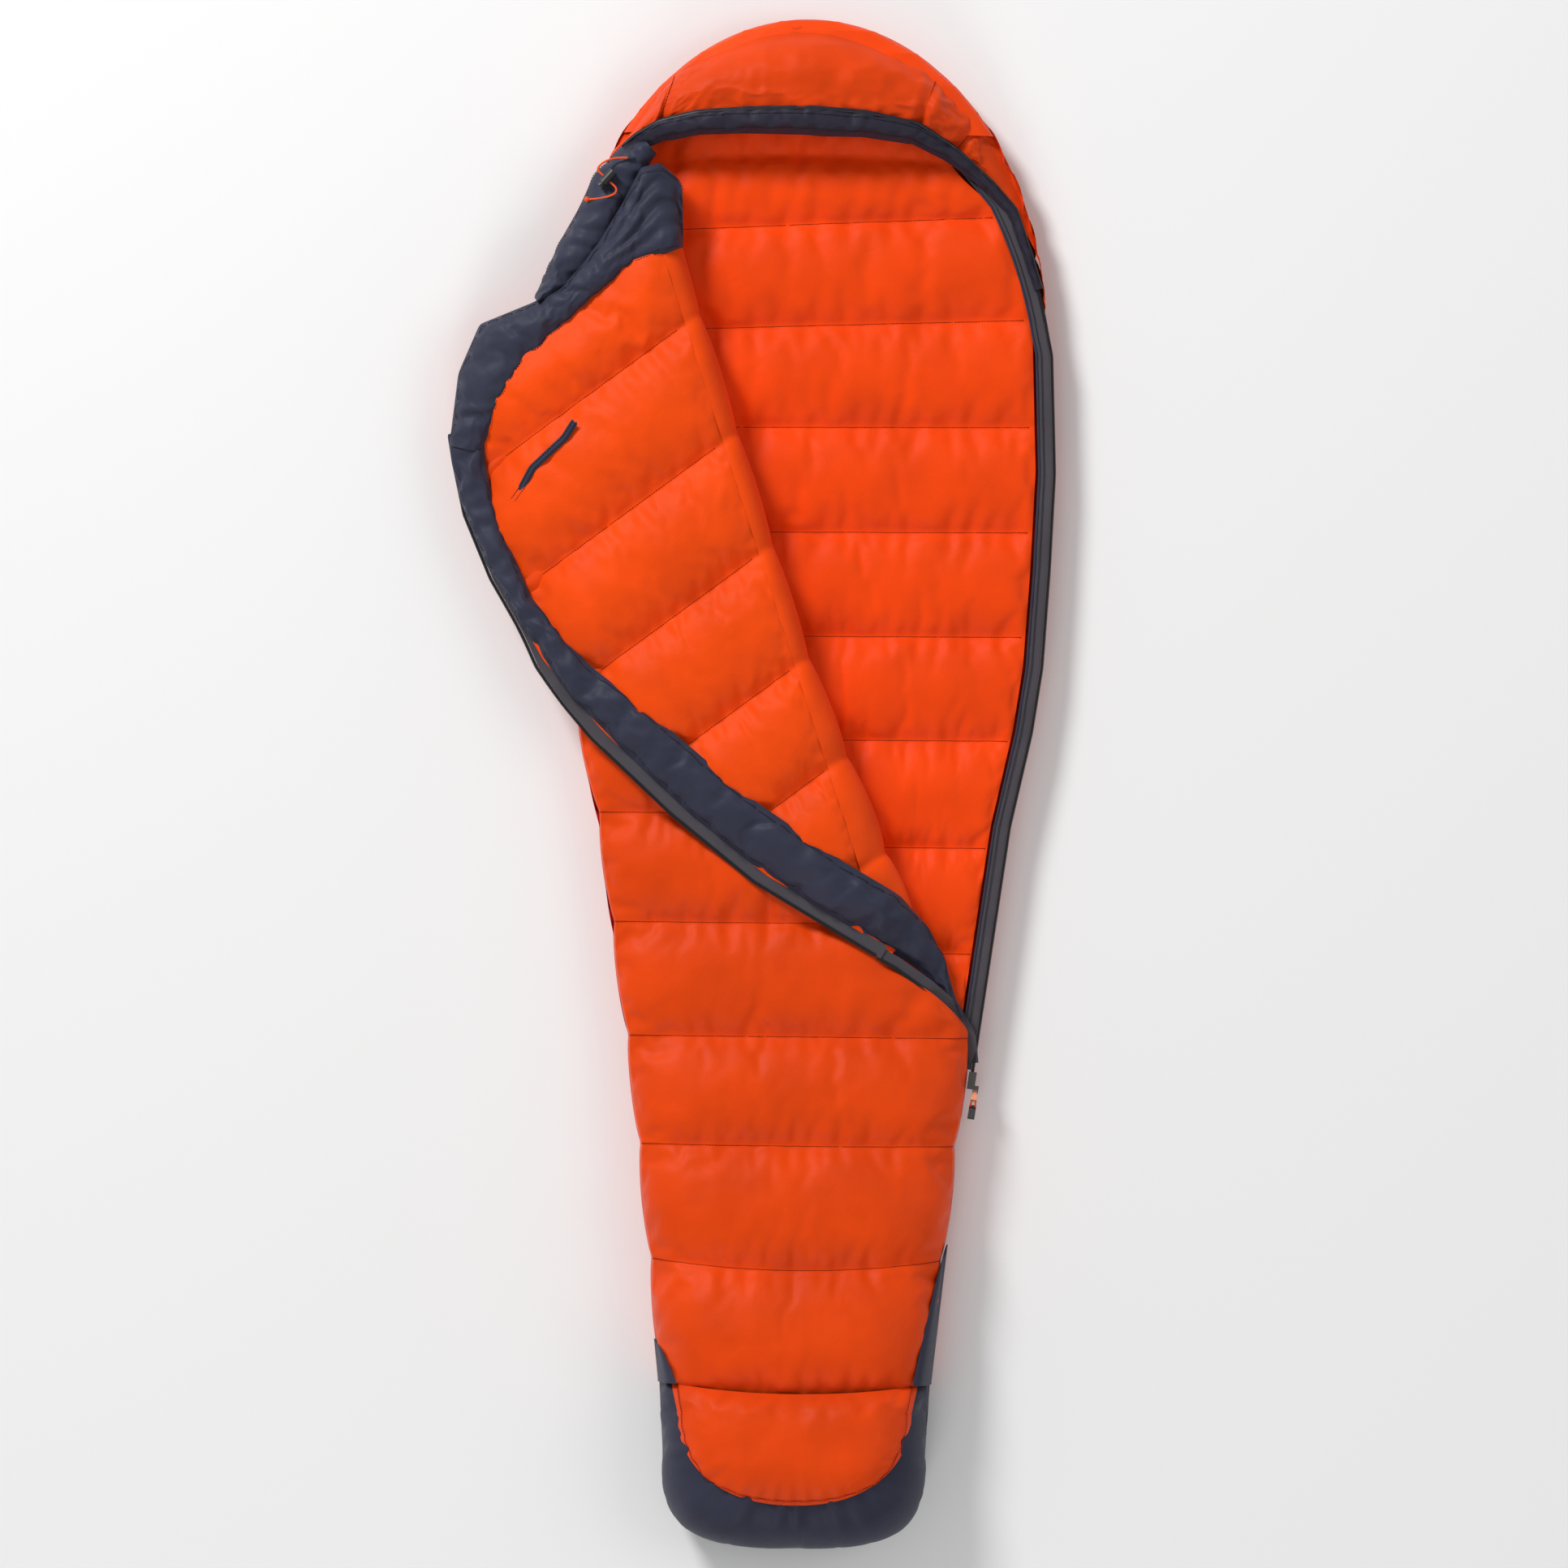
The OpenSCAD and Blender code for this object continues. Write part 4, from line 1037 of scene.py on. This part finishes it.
# From the flap's end the front tape runs round the end of the roll and down to the slider.
end_x, end_y = fold_xy(1186, flap_edge(1186))
LOW_TAPE = [
    (float(end_x), float(end_y), 100), (140, -259, 96), (186, -291, 84), (222, -322, 66), (244, -360, 52),
    (float(zip_x(-400)) - 1, -400, 47),
]
low_line = resampled(np.array(LOW_TAPE, float), 40)
low_across = frames_along(low_line)[1]
sheet_object(
    "woven_low_tape", tape_grid(low_line + low_across * 3, low_across, 16), TAPE, "bag_body", 0,
)
coil_object("low_coil_turns", low_line - low_across * 5 + [0, 0, -0.5], 5.2, "bag_body")

# ---------------------------------------------------------------- drawcord
CORD_DIAMETER = 0.003
CORD_ROUTE = [
    (-259, 895, 100.5), (-266, 895, 100.5), (-274, 894.5, 101), (-282, 893, 102), (-289, 890.5, 103),
    (-295, 887, 104.5), (-299, 883.5, 106), (-301.5, 880, 107), (-302, 877, 107), (-300, 874, 107),
    (-289, 864, 107), (-278, 854, 107), (-275.5, 851, 107), (-275, 847, 107), (-277, 843.5, 107),
    (-281, 841, 106), (-288, 838.5, 104), (-297, 836.5, 101), (-306, 835.5, 97), (-314, 835, 92),
]
cord_points = np.array(CORD_ROUTE)
smooth_route = np.stack([np.interp(np.linspace(0, 19, 77), range(20), cord_points[:, k]) for k in range(3)], 1)
drawcord = tube_object(
    "hood_drawcord", smooth_route, CORD_DIAMETER / MM / 2, CORD, "bag_body", 10
)
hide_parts("hood_drawcord_end")

# ---------------------------------------------------------------- CAD pieces that show as they are
CAD_FINISH = {
    "zip_slider_body": SLIDER, "zip_pull_tab": COPPER, "zip_pull_cord": CORD, "zip_pull_grip": PLASTIC,
    "cord_lock_barrel": PLASTIC, "cord_lock_button": PLASTIC, "cord_lock_spring": STEEL,
    "zip_bottom_stop": COIL, "zip_top_stop": COIL, "drawcord_exit_sleeve": NAVY, "drawcord_knot": CORD,
    "hood_lining": LINING,
}
for node, material in CAD_FINISH.items():
    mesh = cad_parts[node].data
    mesh.materials.clear()
    mesh.materials.append(material)
for node in ("zip_slider_body", "zip_pull_tab", "zip_pull_grip", "cord_lock_barrel", "cord_lock_button"):
    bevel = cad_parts[node].modifiers.new("rounded_edges", "BEVEL")
    bevel.width = 0.0004
    bevel.segments = 2
    bevel.limit_method = "ANGLE"

# ---------------------------------------------------------------- studio
floor = new_object(
    "floor", [(-9000, -9000, 0), (9000, -9000, 0), (9000, 9000, 0), (-9000, 9000, 0)], [[0, 1, 2, 3]], FLOOR
)
floor.location.z = -0.0005


def area_light(name, place, target, size, power):
    data = bpy.data.lights.new(name, "AREA")
    data.shape = "DISK"
    data.size = size
    data.energy = power
    light = bpy.data.objects.new(name, data)
    light.location = place
    light.rotation_euler = (Vector(target) - Vector(place)).to_track_quat("-Z", "Y").to_euler()
    scene.collection.objects.link(light)
    return light


area_light("key", (-4.4, 6.2, 5.2), (0, 0, 0), 2.4, 610)
area_light("fill", (4.6, 0.4, 5.2), (0, 0, 0), 4, 60)
area_light("front", (-1.0, -6.5, 4.0), (0, -0.4, 0), 3, 120)
world = bpy.data.worlds.new("studio")
world.use_nodes = True
world.node_tree.nodes["Background"].inputs["Color"].default_value = (1, 1, 1, 1)
world.node_tree.nodes["Background"].inputs["Strength"].default_value = 0.34
scene.world = world
scene.view_settings.view_transform = "Standard"

camera_data = bpy.data.cameras.new("camera")
camera_data.lens = 300
camera_data.clip_end = 100
camera_data.sensor_width = 36
camera = bpy.data.objects.new("camera", camera_data)
VIEW_CENTRE = (-0.025, -0.001)
VIEW_WIDTH = 2.2546
camera.location = (*VIEW_CENTRE, VIEW_WIDTH * camera_data.lens / camera_data.sensor_width + 0.06)
camera.rotation_euler = (0, 0, math.radians(0.65))
scene.collection.objects.link(camera)
scene.camera = camera
